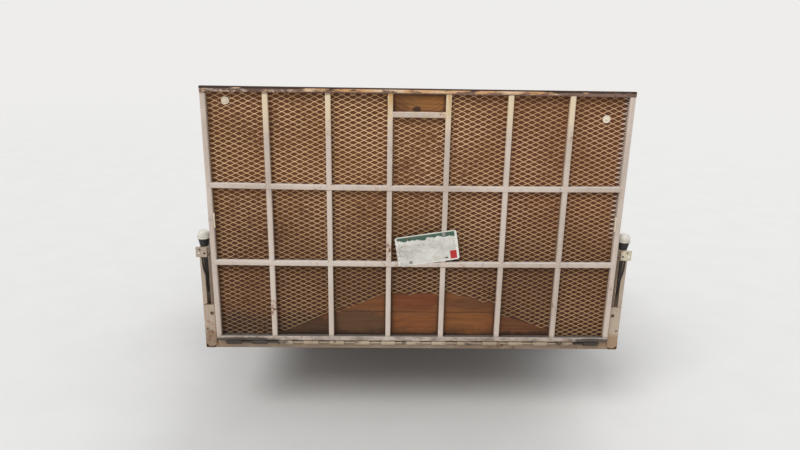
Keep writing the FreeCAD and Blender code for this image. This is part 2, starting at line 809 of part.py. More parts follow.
def rim_barrel(body):
    """The barrel of a pressed steel rim, with its lips and drop centre."""
    seat = "rim_dia / 2"
    edge = "rim_wide / 2"
    drop = "(rim_dia / 2 - rim_drop)"
    above = [
        ("rim_wide / 6", drop),
        ("rim_wide / 4", seat),
        (edge, seat),
        (edge, f"{seat} + rim_lip"),
        (f"{edge} + rim_wall", f"{seat} + rim_lip"),
    ]
    below = [
        (f"{edge} + rim_wall", f"{seat} - rim_wall"),
        ("rim_wide / 4 + rim_wall / 2", f"{seat} - rim_wall"),
        ("rim_wide / 6 + rim_wall / 2", f"{drop} - rim_wall"),
    ]
    mirrored = [(f"-({u})", v) for u, v in reversed(above + below)]
    turned(body, above + below + mirrored)


def rim_disc(body):
    """The dished disc from the hub's pilot out to the drop centre."""
    drop = "(rim_dia / 2 - rim_drop - rim_wall / 2)"
    pilot = "hub_radius + bolt_play"
    flat = "(stud_circle + disc_flat)"
    turned(body, [
        ("0", pilot),
        ("rim_wall", pilot),
        ("rim_wall", flat),
        ("rim_wall + disc_rise", f"{flat} + disc_slope"),
        ("rim_wall + disc_rise", f"{drop} - disc_rise"),
        ("rim_wall + disc_turn", drop),
        ("disc_turn", drop),
        ("disc_rise", f"{drop} - disc_rise - rim_wall / 2"),
        ("disc_rise", f"{flat} + disc_slope + rim_wall / 2"),
        ("0", f"{flat} + rim_wall / 2"),
    ])


def ring_of_holes(sign, count, circle, radius):
    """Round holes through the disc, spaced evenly about the axle."""
    return [
        rod(radius, "rim_wide", f"{sign} * {WHEEL_X} - rim_wide / 2",
            f"{AXLE_Y} + {circle} * cos({360 * k / count})",
            f"{AXLE_Z} + {circle} * sin({360 * k / count})", "x")
        for k in range(count)]


def wheel_disc(sign):
    body = new_body()
    rim_barrel(body)
    rim_disc(body)
    facing = Rotation() if sign > 0 else Rotation(Vector(0, 0, 1), 180)
    place(body, f"{sign} * {WHEEL_X}", AXLE_Y, AXLE_Z, facing)
    holes = ring_of_holes(sign, STUDS, "stud_circle", "stud_hole")
    return cut(body, *holes, *ring_of_holes(sign, HAND_HOLES, "hand_circle", "hand_radius"))


def hub(sign):
    """The hub with its flange, grease cap and bore, and a stud and nut at each hole."""
    body = new_body()
    bore_radius = "spindle_radius + spindle_play"
    turned(body, [
        ("-hub_inner", bore_radius),
        ("-hub_inner", "hub_radius"),
        ("-hub_flange_thick", "hub_radius"),
        ("-hub_flange_thick", "hub_flange"),
        ("0", "hub_flange"),
        ("0", "hub_radius"),
        ("hub_outer", "hub_radius"),
        ("hub_outer", "hub_radius - hub_cap_step"),
        ("hub_outer + hub_cap", "hub_radius - 2 * hub_cap_step"),
        ("hub_outer + hub_cap", "0"),
        ("hub_outer - hub_wall", "0"),
        ("hub_outer - hub_wall", bore_radius),
    ])
    facing = Rotation() if sign > 0 else Rotation(Vector(0, 0, 1), 180)
    place(body, f"{sign} * {WHEEL_X}", AXLE_Y, AXLE_Z, facing)
    studs = []
    for k in range(STUDS):
        y = f"{AXLE_Y} + stud_circle * cos({360 * k / STUDS})"
        z = f"{AXLE_Z} + stud_circle * sin({360 * k / STUDS})"
        stud = rod("stud_radius", "stud_long", outward(sign, WHEEL_X, "stud_long"), y, z, "x")
        nut = doc.addObject("Part::Prism", "Nut")
        nut.Polygon = 6
        nut.setExpression("Circumradius", formula("nut_size"))
        nut.setExpression("Height", formula("nut_high"))
        place(nut, outward(sign, f"{WHEEL_X} + rim_wall", "nut_high"), y, z, ALONG["x"])
        studs.append(fuse(stud, nut))
    return [body] + studs


for side, sign in SIDES:
    node(f"tyre_{side}", tyre(sign))
    node(f"rim_{side}", wheel_disc(sign))
    node(f"hub_{side}", *hub(sign))


def half_ring(outer, inner, wide, x):
    """A half ring over a wheel, made from two half cylinders."""
    halves = []
    for radius in (outer, inner):
        item = doc.addObject("Part::Cylinder", "HalfRound")
        item.setExpression("Radius", formula(radius))
        item.setExpression("Height", formula(wide))
        item.Angle = 180
        upward = Rotation(Vector(0, 1, 0), 90) * Rotation(Vector(0, 0, 1), 90)
        halves.append(place(item, x, AXLE_Y, AXLE_Z, upward))
    return cut(*halves)


# Fenders: a curved top, an outer skirt, and an inner plate against the side rail
FENDER_OUTER = f"({FENDER_RADIUS} + fender_thick)"
for side, sign in SIDES:
    top = half_ring(FENDER_OUTER, FENDER_RADIUS, "fender_wide",
                    outward(sign, "bed_wide / 2", "fender_wide"))
    skirt = half_ring(FENDER_OUTER, f"{FENDER_RADIUS} - fender_skirt",
                      "fender_thick",
                      outward(sign, "bed_wide / 2 + fender_wide - fender_thick",
                              "fender_thick"))
    disc = rod(FENDER_OUTER, "fender_thick",
               outward(sign, "bed_wide / 2", "fender_thick"), AXLE_Y, AXLE_Z, "x")
    above = box("3 * fender_thick", f"3 * {FENDER_RADIUS}", FENDER_RADIUS,
                outward(sign, "bed_wide / 2 - fender_thick", "3 * fender_thick"),
                f"{AXLE_Y} - 1.5 * {FENDER_RADIUS}", RAIL_LOW)
    node(f"fender_{side}", fuse(top, skirt, common(disc, above)))

# Ramp gate: welded square tubes; the outer ones run past the rails, and the short tube
# crosses only the middle bay
SIDE_BAY = f"(({GATE_HALF} - gate_tube / 2 - middle_bay / 2) / 3 + side_bay_more)"
STUD_GAPS = [f"(middle_bay / 2 + {k} * {SIDE_BAY})" for k in range(3)]
UPRIGHTS = (
    [f"(gate_tube / 2 - {GATE_HALF})"]
    + [f"(middle_shift - {gap})" for gap in reversed(STUD_GAPS)]
    + [f"(middle_shift + {gap})" for gap in STUD_GAPS]
    + [f"({GATE_HALF} - gate_tube / 2)"])
LOW_RAIL = "(low_rail_high - gate_tube / 2)"
MID_RAIL = "(mid_rail_high - gate_tube / 2)"
TOP_RAIL = "(gate_high - gate_top_high)"


def level_tube(left, wide, height, high="gate_tube"):
    return square_tube(wide, "gate_tube", high, left, GATE_Y,
                       f"({GATE_LOW} + {height})", "x", "gate_wall")


def upright(centre, low, high):
    return square_tube(
        "gate_tube", "gate_tube", f"({high} - {low})",
        f"({centre} - gate_tube / 2)", GATE_Y, f"({GATE_LOW} + {low})", "z", "gate_wall")


BETWEEN = f"({GATE_HALF} - gate_tube)"
gate_tubes = [
    level_tube(f"-{BETWEEN}", f"2 * {BETWEEN}", "0"),
    level_tube(f"-{BETWEEN}", f"2 * {BETWEEN}", LOW_RAIL),
    level_tube(f"-{BETWEEN}", f"2 * {BETWEEN}", MID_RAIL),
    level_tube(f"-{GATE_HALF}", f"2 * {GATE_HALF}", TOP_RAIL, "gate_top_high"),
    level_tube(f"({UPRIGHTS[3]} + gate_tube / 2)", "(middle_bay - gate_tube)",
               "(short_rail_high - gate_tube / 2)"),
    upright(UPRIGHTS[0], "0", TOP_RAIL),
    upright(UPRIGHTS[-1], "0", TOP_RAIL),
]
for centre in UPRIGHTS[1:-1]:
    for low, high in (("gate_tube", LOW_RAIL),
                      (f"({LOW_RAIL} + gate_tube)", MID_RAIL),
                      (f"({MID_RAIL} + gate_tube)", TOP_RAIL)):
        gate_tubes.append(upright(centre, low, high))
node("gate_frame", *gate_tubes)

BOLTS = (
    (f"(bolt_left_in - {GATE_HALF})", f"({GATE_LOW} + gate_high - bolt_left_down)"),
    (f"({GATE_HALF} - bolt_right_in)", f"({GATE_LOW} + gate_high - bolt_right_down)"),
)
bolt_holes = [
    rod("bolt_radius + bolt_play", "2 * gate_tube", x, GATE_Y, z, "y") for x, z in BOLTS]
node("gate_plywood", cut(
    box(f"2 * ({GATE_HALF} - ply_edge)", "ply_thick", "gate_high - ply_edge - ply_top_edge",
        f"ply_edge - {GATE_HALF}", PLY_Y, f"{GATE_LOW} + ply_edge"),
    *bolt_holes))


def mesh_outline():
    """What is left of the mesh: its lower edge is torn away in an arch."""
    low = worked(GATE_LOW)
    edge = worked(f"{GATE_HALF} - mesh_edge")
    inner = [worked(centre) for centre in UPRIGHTS]
    bottom = low + worked("mesh_edge")
    top = low + worked("gate_high - mesh_edge")
    short_top = low + worked("short_rail_high")

    def at(x, z):
        return Vector(x, 0, z)

    corner_low = at(inner[1], low + worked("tear_left"))
    crown_left = at(inner[3], low + worked("tear_left_top"))
    crown_right = at(inner[4], low + worked("tear_right_top"))
    shoulder = at(inner[5], low + worked("tear_right_mid"))
    corner_right = at(inner[6], low + worked("tear_right"))
    left_way = [
        at(inner[4], short_top), at(inner[3], short_top), at(inner[3], top),
        at(-edge, top), at(-edge, bottom), at(inner[1], bottom), corner_low,
        crown_left, crown_right,
    ]
    right_way = [
        corner_right, at(inner[6], bottom), at(edge, bottom), at(edge, top),
        at(inner[4], top), at(inner[4], short_top),
    ]
    edges = [Part.LineSegment(a, b).toShape() for a, b in zip(left_way, left_way[1:])]
    edges.append(Part.Arc(crown_right, shoulder, corner_right).toShape())
    edges += [Part.LineSegment(a, b).toShape() for a, b in zip(right_way, right_way[1:])]
    return Part.Face(Part.Wire(edges))


def strands(lean):
    """One set of parallel strands of the mesh, cut to what is left of the sheet."""
    long_way = worked("diamond_long")
    short_way = worked("diamond_short")
    thick = worked("strand_thick")
    wide = worked("strand_wide")
    slope = math.degrees(math.atan2(short_way, long_way)) * lean
    spacing = long_way * math.sin(math.radians(abs(slope)))
    reach = worked(f"2 * {GATE_HALF}")
    count = int(reach / spacing / 2)
    middle = Vector(0, 0, worked(f"{GATE_LOW} + gate_high / 2"))
    turn = Placement(middle, Rotation(Vector(0, 1, 0), -slope))
    bars = []
    for k in range(-count, count + 1):
        corner = Vector(-reach, 0, k * spacing - wide / 2)
        bar = Part.makeBox(2 * reach, thick, wide, corner)
        bar.Placement = turn.multiply(bar.Placement)
        bars.append(bar)
    clip = mesh_outline().extrude(Vector(0, thick, 0))
    left = Part.makeCompound(bars).common(clip)
    for x, z in BOLTS:
        hole = Part.makeCylinder(worked("bolt_radius + bolt_play"), thick,
                                 Vector(worked(x), 0, worked(z)), Vector(0, 1, 0))
        left = left.cut(hole)
    return left


def mesh_layer(lean, layer):
    item = doc.addObject("Part::Feature", "Strands")
    item.Shape = strands(lean)
    return place(item, "0", f"{MESH_Y} + {layer} * strand_thick", "0")


node("gate_mesh", mesh_layer(1, 0), mesh_layer(-1, 1))

# Gate fittings: two bolts with wide washers, and a catch tab inside each outer tube
fittings = []
for x, z in BOLTS:
    shank_start = f"({MESH_Y} - washer_thick)"
    washer = cut(
        rod("washer_radius", "washer_thick", x, shank_start, z, "y"),
        rod("bolt_radius + bolt_play", "washer_thick", x, shank_start, z, "y"))
    shank_long = "(washer_thick + 2 * strand_thick + ply_thick)"
    bolt = fuse(
        rod("bolt_radius", shank_long, x, shank_start, z, "y"),
        rod("bolt_head_radius", "bolt_head", x, f"{shank_start} - bolt_head", z, "y"),
        rod("bolt_head_radius", "nut_thick", x, f"{PLY_Y} + ply_thick", z, "y"))
    fittings += [washer, bolt]
for side, sign in SIDES:
    fittings.append(box(
        "tab_wide", "tab_deep", "tab_high",
        outward(sign, f"{GATE_HALF} - gate_tube - tab_wide", "tab_wide"),
        GATE_Y, f"{GATE_LOW} + tab_low"))
node("gate_fittings", *fittings)

# Blank number plate, hung askew by bolts in two of its four slots
tag = box("tag_wide", "tag_thick", "tag_high", "0", "0", "0")
tilt = Rotation(Vector(0, 1, 0), -worked("tag_tilt"))
place(tag,
      "tag_shift - tag_wide / 2 * cos(tag_tilt) + tag_high / 2 * sin(tag_tilt)",
      f"{GATE_Y} - tag_thick",
      f"{GATE_LOW} + tag_centre - tag_wide / 2 * sin(tag_tilt) - tag_high / 2 * cos(tag_tilt)",
      tilt)


def tag_slot(across, up):
    """Where a slot of the tilted plate comes, as x and z."""
    return (f"(tag_shift + {across} * tag_slot_out * cos(tag_tilt)"
            f" - {up} * tag_slot_up * sin(tag_tilt))",
            f"({GATE_LOW} + tag_centre + {across} * tag_slot_out * sin(tag_tilt)"
            f" + {up} * tag_slot_up * cos(tag_tilt))")


open_slots = []
for across, up in ((-1, 1), (1, -1)):
    x, z = tag_slot(across, up)
    open_slots.append(rod("tag_slot", "3 * tag_thick", x, f"{GATE_Y} - 2 * tag_thick", z, "y"))
tag_bolts = []
for way in (-1, 1):
    x, z = tag_slot(way, way)
    tag_bolts.append(rod("bolt_radius", "bolt_head", x, f"{GATE_Y} - tag_thick - bolt_head",
                         z, "y"))
node("gate_tag", cut(tag, *open_slots), *tag_bolts)


# Knuckle hinge: every second knuckle hangs under the gate, the others are on the rear rail
HINGE_HALF = f"({GATE_HALF} - hinge_end)"
PITCH = f"((2 * {HINGE_HALF} - knuckle_long) / {2 * HINGE_STEPS})"


def knuckle(number, web):
    start = f"{number} * {PITCH} - knuckle_long / 2"
    return cut(
        fuse(rod("knuckle / 2", "knuckle_long", start, HINGE_Y, HINGE_Z, "x"), web(start)),
        rod("pin_radius + pin_play", "knuckle_long", start, HINGE_Y, HINGE_Z, "x"))


def gate_web(start):
    return box("knuckle_long", "knuckle / 2", "knuckle / 2 + knuckle_drop",
               start, f"{HINGE_Y} - knuckle / 4", HINGE_Z)


def rail_web(start):
    return box("knuckle_long", "knuckle / 2 + hinge_gap", "knuckle / 2",
               start, HINGE_Y, f"{HINGE_Z} - knuckle / 4")


steps = range(-HINGE_STEPS, HINGE_STEPS + 1)
node("gate_knuckles", *[knuckle(k, gate_web) for k in steps if k % 2 == 0])
node("rail_knuckles", *[knuckle(k, rail_web) for k in steps if k % 2])
PIN_LONG = f"(2 * ({HINGE_HALF} + pin_radius))"
node("hinge_pin", rod("pin_radius", PIN_LONG, f"-{PIN_LONG} / 2", HINGE_Y, HINGE_Z, "x"))

doc.recompute()
failed = [item.Label for item in doc.Objects if set(item.State) & {"Invalid", "Error"}]
empty = [item.Label for item in nodes if item.Shape.isNull() or not item.Shape.isValid()]
if failed or empty:
    raise SystemExit(f"failed objects: {failed}, shapes that are not sound: {empty}")
os.makedirs("parts", exist_ok=True)
for item in nodes:
    item.Shape.exportStep(os.path.join("parts", item.Label + ".step"))
print(len(nodes), "parts written")
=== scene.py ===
import random
from math import asin, cos, pi, radians, sin, sqrt, tan

import bmesh
import bpy
from mathutils import Matrix, Vector
from mathutils.geometry import tessellate_polygon


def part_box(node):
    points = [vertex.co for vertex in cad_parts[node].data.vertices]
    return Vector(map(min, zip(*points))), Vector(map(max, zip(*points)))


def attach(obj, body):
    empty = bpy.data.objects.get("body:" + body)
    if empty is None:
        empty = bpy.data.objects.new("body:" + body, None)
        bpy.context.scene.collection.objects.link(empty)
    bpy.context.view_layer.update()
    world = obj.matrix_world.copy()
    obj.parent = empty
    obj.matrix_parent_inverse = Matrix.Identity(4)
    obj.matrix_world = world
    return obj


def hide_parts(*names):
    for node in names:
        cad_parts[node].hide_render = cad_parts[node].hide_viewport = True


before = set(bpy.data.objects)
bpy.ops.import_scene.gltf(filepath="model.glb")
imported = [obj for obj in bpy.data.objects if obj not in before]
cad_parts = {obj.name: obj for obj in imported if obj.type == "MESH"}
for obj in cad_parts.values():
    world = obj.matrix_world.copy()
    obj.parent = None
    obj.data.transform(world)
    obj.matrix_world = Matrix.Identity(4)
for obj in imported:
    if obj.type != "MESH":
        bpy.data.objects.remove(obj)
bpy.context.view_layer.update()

# Utility trailer with a raised ramp gate. Metres, +Y towards the tongue, +Z up.
SIDES = (("left", -1), ("right", 1))
WAYS = (-1, 1)
RIGHT, AHEAD, FLAT = Vector((1, 0, 0)), Vector((0, 1, 0)), Vector((0, 0, 1))

# Gate layout, as in the part
TUBE = 0.0254
MIDDLE_BAY = 0.27
MIDDLE_SHIFT = 0.00325
SIDE_BAY_MORE = 0.0025
LOW_RAIL, LOW_SAG = 0.419, 0.003
MID_RAIL, MID_SAG = 0.807, 0.006
SHORT_RAIL = 1.151
DIAMOND_LONG = 0.0508
DIAMOND_SHORT = 0.0234
# How high the torn edge of the mesh stands at the two sides of each bay, left to right
TEARS = ((0.018, 0.138), (0.138, 0.252), (0.247, 0.247), (0.262, 0.197), (0.138, 0.052))

gate_low, gate_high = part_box("gate_frame")
GATE_HALF, GATE_BACK, GATE_TOP = gate_high
GATE_FRONT, GATE_BOTTOM = gate_low.y, gate_low.z
SIDE_BAY = (GATE_HALF - TUBE / 2 - MIDDLE_BAY / 2) / 3 + SIDE_BAY_MORE
BAY_STEPS = [MIDDLE_BAY / 2 + k * SIDE_BAY for k in range(3)]
UPRIGHTS = (
    [TUBE / 2 - GATE_HALF]
    + [MIDDLE_SHIFT - step for step in reversed(BAY_STEPS)]
    + [MIDDLE_SHIFT + step for step in BAY_STEPS]
    + [GATE_HALF - TUBE / 2])
TORN_BAYS = [(*bay, *tear) for bay, tear in zip(zip(UPRIGHTS[1:], UPRIGHTS[2:]), TEARS)]

# Places on the bed, from the frame
rail_low, rail_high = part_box("side_rail_right")
top_low, top_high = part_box("top_rail_right")
tyre_low, tyre_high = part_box("tyre_right")
BED_HALF, FRONT, DECK = rail_high
RAIL = rail_high.x - rail_low.x
REAR, RAIL_LOW = rail_low.y, rail_low.z
BED_LONG = FRONT - REAR
POST_IN, TOP_LOW, SIDE_TOP = top_low.x, top_low.z, top_high.z
POST_MID = (POST_IN + BED_HALF) / 2
WHEEL_X, AXLE_Y, AXLE_Z = (tyre_low + tyre_high) / 2
TYRE_RADIUS = tyre_high.z - AXLE_Z
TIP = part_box("coupler")[1].y


def placed(name, data):
    """Put an object in the scene."""
    item = bpy.data.objects.new(name, data)
    bpy.context.scene.collection.objects.link(item)
    return item


def about(axis):
    """A direction and two more square to it."""
    direction = Vector(axis).normalized()
    side = direction.orthogonal().normalized()
    return direction, side, direction.cross(side)


def spoke(turn):
    """The direction of a spoke of a wheel."""
    return Vector((0, cos(turn), sin(turn)))


def circle(u, v, radius, steps=24):
    return [(u + radius * cos(2 * pi * k / steps), v + radius * sin(2 * pi * k / steps))
            for k in range(steps)]


def mm(*numbers):
    """Pairs of millimetres, as points in metres."""
    return [(u / 1000, v / 1000) for u, v in zip(numbers[::2], numbers[1::2])]


# Mesh making
class Solid:
    """Collects the points and faces of one piece."""

    def __init__(self):
        self.points = []
        self.faces = []

    def add(self, points, faces):
        start = len(self.points)
        self.points += [tuple(point) for point in points]
        self.faces += [tuple(start + corner for corner in face) for face in faces]

    def rings(self, rings, closed=False):
        """Skin a row of rings, each a closed loop of as many points."""
        count = len(rings[0])
        total = len(rings) * count
        faces = []
        for here in range(0, total if closed else total - count, count):
            after = (here + count) % total
            for k in range(count):
                beside = (k + 1) % count
                faces.append((here + k, here + beside, after + beside, after + k))
        if not closed:
            faces += [tuple(reversed(range(count))), tuple(range(total - count, total))]
        self.add([point for ring in rings for point in ring], faces)

    def lathe(self, outline, centre, axis, steps=32, closed=False):
        """Turn an outline of (along, radius) about an axis through a point."""
        direction, side, other = about(axis)
        turns = [2 * pi * k / steps for k in range(steps)]
        self.rings([[Vector(centre) + direction * along
                     + (side * cos(turn) + other * sin(turn)) * max(radius, 1e-5)
                     for turn in turns] for along, radius in outline], closed)

    def prism(self, loop, start, run, across, up, count=1):
        """A bar of one section: a loop of (u, v) points carried along a run."""
        self.rings([[Vector(start) + run * (k / count) + across * u + up * v for u, v in loop]
                    for k in range(count + 1)])

    def rod(self, path, radius, steps=12):
        """A round bar along a path."""
        path = [Vector(place) for place in path]
        side = (path[1] - path[0]).orthogonal().normalized()
        rings = []
        for before, place, after in zip(path[:1] + path, path, path[1:] + path[-1:]):
            ahead = (after - before).normalized()
            side = (side - ahead * side.dot(ahead)).normalized()
            other = ahead.cross(side)
            rings.append([place + (side * u + other * v) * radius
                          for u, v in circle(0, 0, 1, steps)])
        self.rings(rings)

    def build(self, name, body, slot, *nodes, look=None, angle=35):
        """Make the piece, with its slot's material or another look."""
        mesh = bpy.data.meshes.new(name)
        mesh.from_pydata(self.points, [], self.faces)
        mesh.validate()
        piece = placed(name, mesh)
        work = bmesh.new()
        work.from_mesh(mesh)
        bmesh.ops.recalc_face_normals(work, faces=work.faces)
        work.to_mesh(mesh)
        work.free()
        mesh.shade_smooth()
        mesh.set_sharp_from_angle(angle=radians(angle))
        mesh.materials.append(MATERIALS[look or slot])
        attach(piece, body)
        if nodes:
            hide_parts(*nodes)


def rounded(wide, high, radius, steps=3, u=0.0, v=0.0):
    """The corners of a rounded rectangle about a middle, as (u, v) points."""
    points = []
    for su, sv, start in ((1, 1, 0), (-1, 1, 90), (-1, -1, 180), (1, -1, 270)):
        for k in range(steps + 1):
            turn = radians(start + 90 * k / steps)
            points.append((u + su * (wide / 2 - radius) + radius * cos(turn),
                           v + sv * (high / 2 - radius) + radius * sin(turn)))
    return points


def bent(before, corner, after, radius, steps):
    """The points of a bend at a corner."""
    before, corner, after = Vector(before), Vector(corner), Vector(after)
    into, away = before - corner, after - corner
    back = min(radius / tan(into.angle(away) / 2), 0.49 * into.length, 0.49 * away.length)
    first, last = (corner + way.normalized() * back for way in (into, away))
    return [first.lerp(corner, k / steps).lerp(corner.lerp(last, k / steps), k / steps)
            for k in range(steps + 1)]


def bent_path(points, radius, steps):
    """An open path with its corners bent."""
    path = [Vector(points[0])]
    for before, corner, after in zip(points, points[1:], points[2:]):
        path += bent(before, corner, after, radius, steps)
    return path + [Vector(points[-1])]


def bent_loop(points, radii):
    """A closed loop of (u, v) points with its corners bent, each by its own radius."""
    loop = []
    for before, corner, after, radius in zip(points[-1:] + points, points,
                                             points[1:] + points[:1], radii):
        curve = bent(before, corner, after, radius, 3) if radius else [corner]
        loop += [tuple(place) for place in curve]
    return loop


def inset(loop, depth):
    """Move a closed loop of (u, v) points to its left by a distance."""
    moved = []
    for before, place, after in zip(loop[-1:] + loop, loop, loop[1:] + loop[:1]):
        before = Vector(place) - Vector(before)
        after = Vector(after) - Vector(place)
        lean = (Vector((-before.y, before.x)).normalized()
                + Vector((-after.y, after.x)).normalized())
        lean *= 2 * depth / lean.length_squared
        moved.append((place[0] + lean.x, place[1] + lean.y))
    return moved


def leftward(loop, outer):
    """Turn a loop so that the plate's metal is on its left."""
    area = sum(a[0] * b[1] - b[0] * a[1] for a, b in zip(loop, loop[1:] + loop[:1]))
    return loop if (area > 0) == outer else loop[::-1]


def plate(solid, loops, thick, origin, across, up, edge=0.0006):
    """A flat plate from an outline and its holes, its edges broken on both faces."""
    across, up = Vector(across).normalized(), Vector(up).normalized()
    out = across.cross(up)
    turned = [leftward(loop, k == 0) for k, loop in enumerate(loops)]
    inner = [inset(loop, edge) for loop in turned]
    total = sum(len(loop) for loop in turned)
    points = [Vector(origin) + across * u + up * v + out * depth
              for group, depth in ((inner, thick / 2), (turned, thick / 2 - edge),
                                   (turned, edge - thick / 2), (inner, -thick / 2))
              for loop in group for u, v in loop]
    faces = []
    start = 0
    for loop in turned:
        count = len(loop)
        for level in range(start, start + 3 * total, total):
            for k in range(count):
                here, beside = level + k, level + (k + 1) % count
                faces.append((here, beside, beside + total, here + total))
        start += count
    for corners in tessellate_polygon([[Vector((u, v, 0)) for u, v in loop] for loop in inner]):
        faces += [tuple(corners), tuple(3 * total + k for k in reversed(corners))]
    solid.add(points, faces)


def dip(sag, share):
    """How far a sagging rail hangs at a share of its half length from the middle."""
    return sag * (1 - share * share)


AXES = {"x": (RIGHT, AHEAD, FLAT), "y": (AHEAD, FLAT, RIGHT), "z": (FLAT, RIGHT, AHEAD)}


def tube(solid, low, high, along, radius, wall, step, wobble, sag=0.0):
    """A hollow, rounded square tube that fills a box."""
    run, across, up = AXES[along]
    size = Vector(high) - Vector(low)
    centre = (Vector(low) + Vector(high)) / 2
    length = size.dot(run)
    count = max(1, round(length / step))

    def ring(share, shrink):
        outline = rounded(size.dot(across) - 2 * shrink, size.dot(up) - 2 * shrink,
                          max(radius - shrink, 0.0008))
        place = centre + run * length * (share - 0.5) - FLAT * dip(sag, 2 * share - 1)
        return [place + across * u + up * v for u, v in outline]

    outer = [ring(k / count, random.uniform(0, wobble)) for k in range(count + 1)]
    solid.rings(outer + [ring(1 - k / count, wall) for k in range(count + 1)], True)


BEAD_PITCH = 0.0032


def bead(solid, start, end, out, width, height):
    """A weld bead between two points, its ripples across the run."""
    start, out = Vector(start), Vector(out).normalized()
    run = Vector(end) - start
    side = run.normalized().cross(out)
    count = max(3, int(run.length / BEAD_PITCH) * 2)
    rings = []
    for k in range(count + 1):
        share = k / count
        ripple = 0.75 + 0.25 * (k % 2) + random.uniform(-0.08, 0.08)
        size = ripple * (min(1.0, 4 * min(share, 1 - share) + 0.35))
        place = start + run * share + side * random.uniform(-0.12, 0.12) * width
        rings.append([place + side * cos(radians(angle)) * width / 2 * size
                      + out * (sin(radians(angle)) * height * size if angle != 270
                               else -0.3 * height)
                      for angle in (0, 55, 90, 125, 180, 270)])
    solid.rings(rings)


def seam(solid, x, y, z, out, width, height):
    """A weld bead along the one of x, y and z that is a pair."""
    start, end = zip(*(place if isinstance(place, tuple) else (place, place)
                       for place in (x, y, z)))
    bead(solid, start, end, out, width, height)


def round_bead(solid, centre, axis, radius, width, height):
    """A weld bead round a tube."""
    direction, side, other = about(axis)
    count = 2 * int(pi * radius / BEAD_PITCH)
    rings = []
    for k in range(count):
        turn = 2 * pi * k / count
        out = side * cos(turn) + other * sin(turn)
        size = 0.8 + 0.2 * (k % 2) + random.uniform(-0.06, 0.06)
        rings.append([
            Vector(centre) + out * (radius + sin(radians(angle)) * height * size)
            + direction * cos(radians(angle)) * width / 2 * size
            for angle in (0, 45, 90, 135, 180, 270)])
    solid.rings(rings, True)


def collar(solid, x, y, z, half, way):
    """Weld beads round the foot or the head of a square post."""
    for dx, dy in ((1, 0), (0, 1), (-1, 0), (0, -1)):
        middle = Vector((x + dx * half, y + dy * half, z))
        along = Vector((-dy, dx, 0)) * (half - 0.003)
        bead(solid, middle - along, middle + along, (dx, dy, way), 0.007, 0.0026)


def hexagon(solid, place, axis, size, high):
    """A bolt head or nut with its corners turned down."""
    solid.lathe([(0, 0.93 * size), (0.12 * high, size), (0.88 * high, size), (high, 0.88 * size),
                 (high, 0.55 * size)], place, axis, 6)


def washer(solid, place, axis, radius, hole, thick):
    solid.lathe([(0, hole), (0, radius - 0.0004), (0.0004, radius), (thick - 0.0004, radius),
                 (thick, radius - 0.0004), (thick, hole)], place, axis, 28, True)


def thread(solid, place, axis, radius, long):
    """A threaded end, its turns as small ridges, with a chamfer at the tip."""
    pitch = 0.0016
    outline = [(0, radius)]
    for k in range(max(2, int(long / pitch))):
        outline += [((k + 0.25) * pitch, radius), ((k + 0.75) * pitch, radius - 0.0006)]
    solid.lathe(outline + [(long, radius - 0.0012)], place, axis, 14)


def bolt(solid, place, axis, size, high, spread=1.6):
    """A hexagon head on its washer."""
    washer(solid, place, axis, size * spread, size * 0.5, 0.0015)
    hexagon(solid, Vector(place) + Vector(axis).normalized() * 0.0015, axis, size, high)


def linear(*screen):
    """A colour written as 0 to 255 screen values, for the shader."""
    return tuple(((c / 255 + 0.055) / 1.055) ** 2.4 if c > 10 else c / 255 / 12.92
                 for c in screen)


# Materials: a triple of whole numbers is a screen colour, any other triple a factor
class Value:
    """A number that varies over a surface: the output of a shader node."""

    def __init__(self, nodes, socket):
        self.nodes, self.socket = nodes, socket

    def math(self, operation, other=0.0):
        return self.nodes.node("ShaderNodeMath", {0: self, 1: other}, operation=operation)

    def __add__(self, other):
        return self.math("ADD", other)

    def __sub__(self, other):
        return self.math("SUBTRACT", other)

    def __mul__(self, other):
        return self.math("MULTIPLY", other)

    def __abs__(self):
        return self.math("ABSOLUTE")

    def most(self, other):
        return self.math("MAXIMUM", other)

    def opposite(self):
        return self * -1.0 + 1.0

    def band(self, low, high, to_low=0.0, to_high=1.0):
        """Ease the value from one range to another."""
        return self.nodes.node("ShaderNodeMapRange", dict(enumerate(
            (self, low, high, to_low, to_high))), interpolation_type="SMOOTHSTEP")


class Nodes:
    """A short way to lay out the nodes of one tree."""

    def __init__(self, tree):
        self.tree = tree

    def node(self, kind, inputs=(), out=0, **values):
        """Add a node, feed its inputs and hand back one of its outputs."""
        item = self.tree.nodes.new(kind)
        for name, value in values.items():
            setattr(item, name, value)
        for name, value in dict(inputs).items():
            self.feed(item.inputs[name], value)
        return Value(self, item.outputs[out]) if item.outputs else None

    def feed(self, socket, value):
        if isinstance(value, Value):
            self.tree.links.new(value.socket, socket)
        elif isinstance(value, tuple) and socket.type == "RGBA":
            screen = isinstance(value[0], int)
            socket.default_value = (*(linear(*value) if screen else value), 1)
        else:
            socket.default_value = value


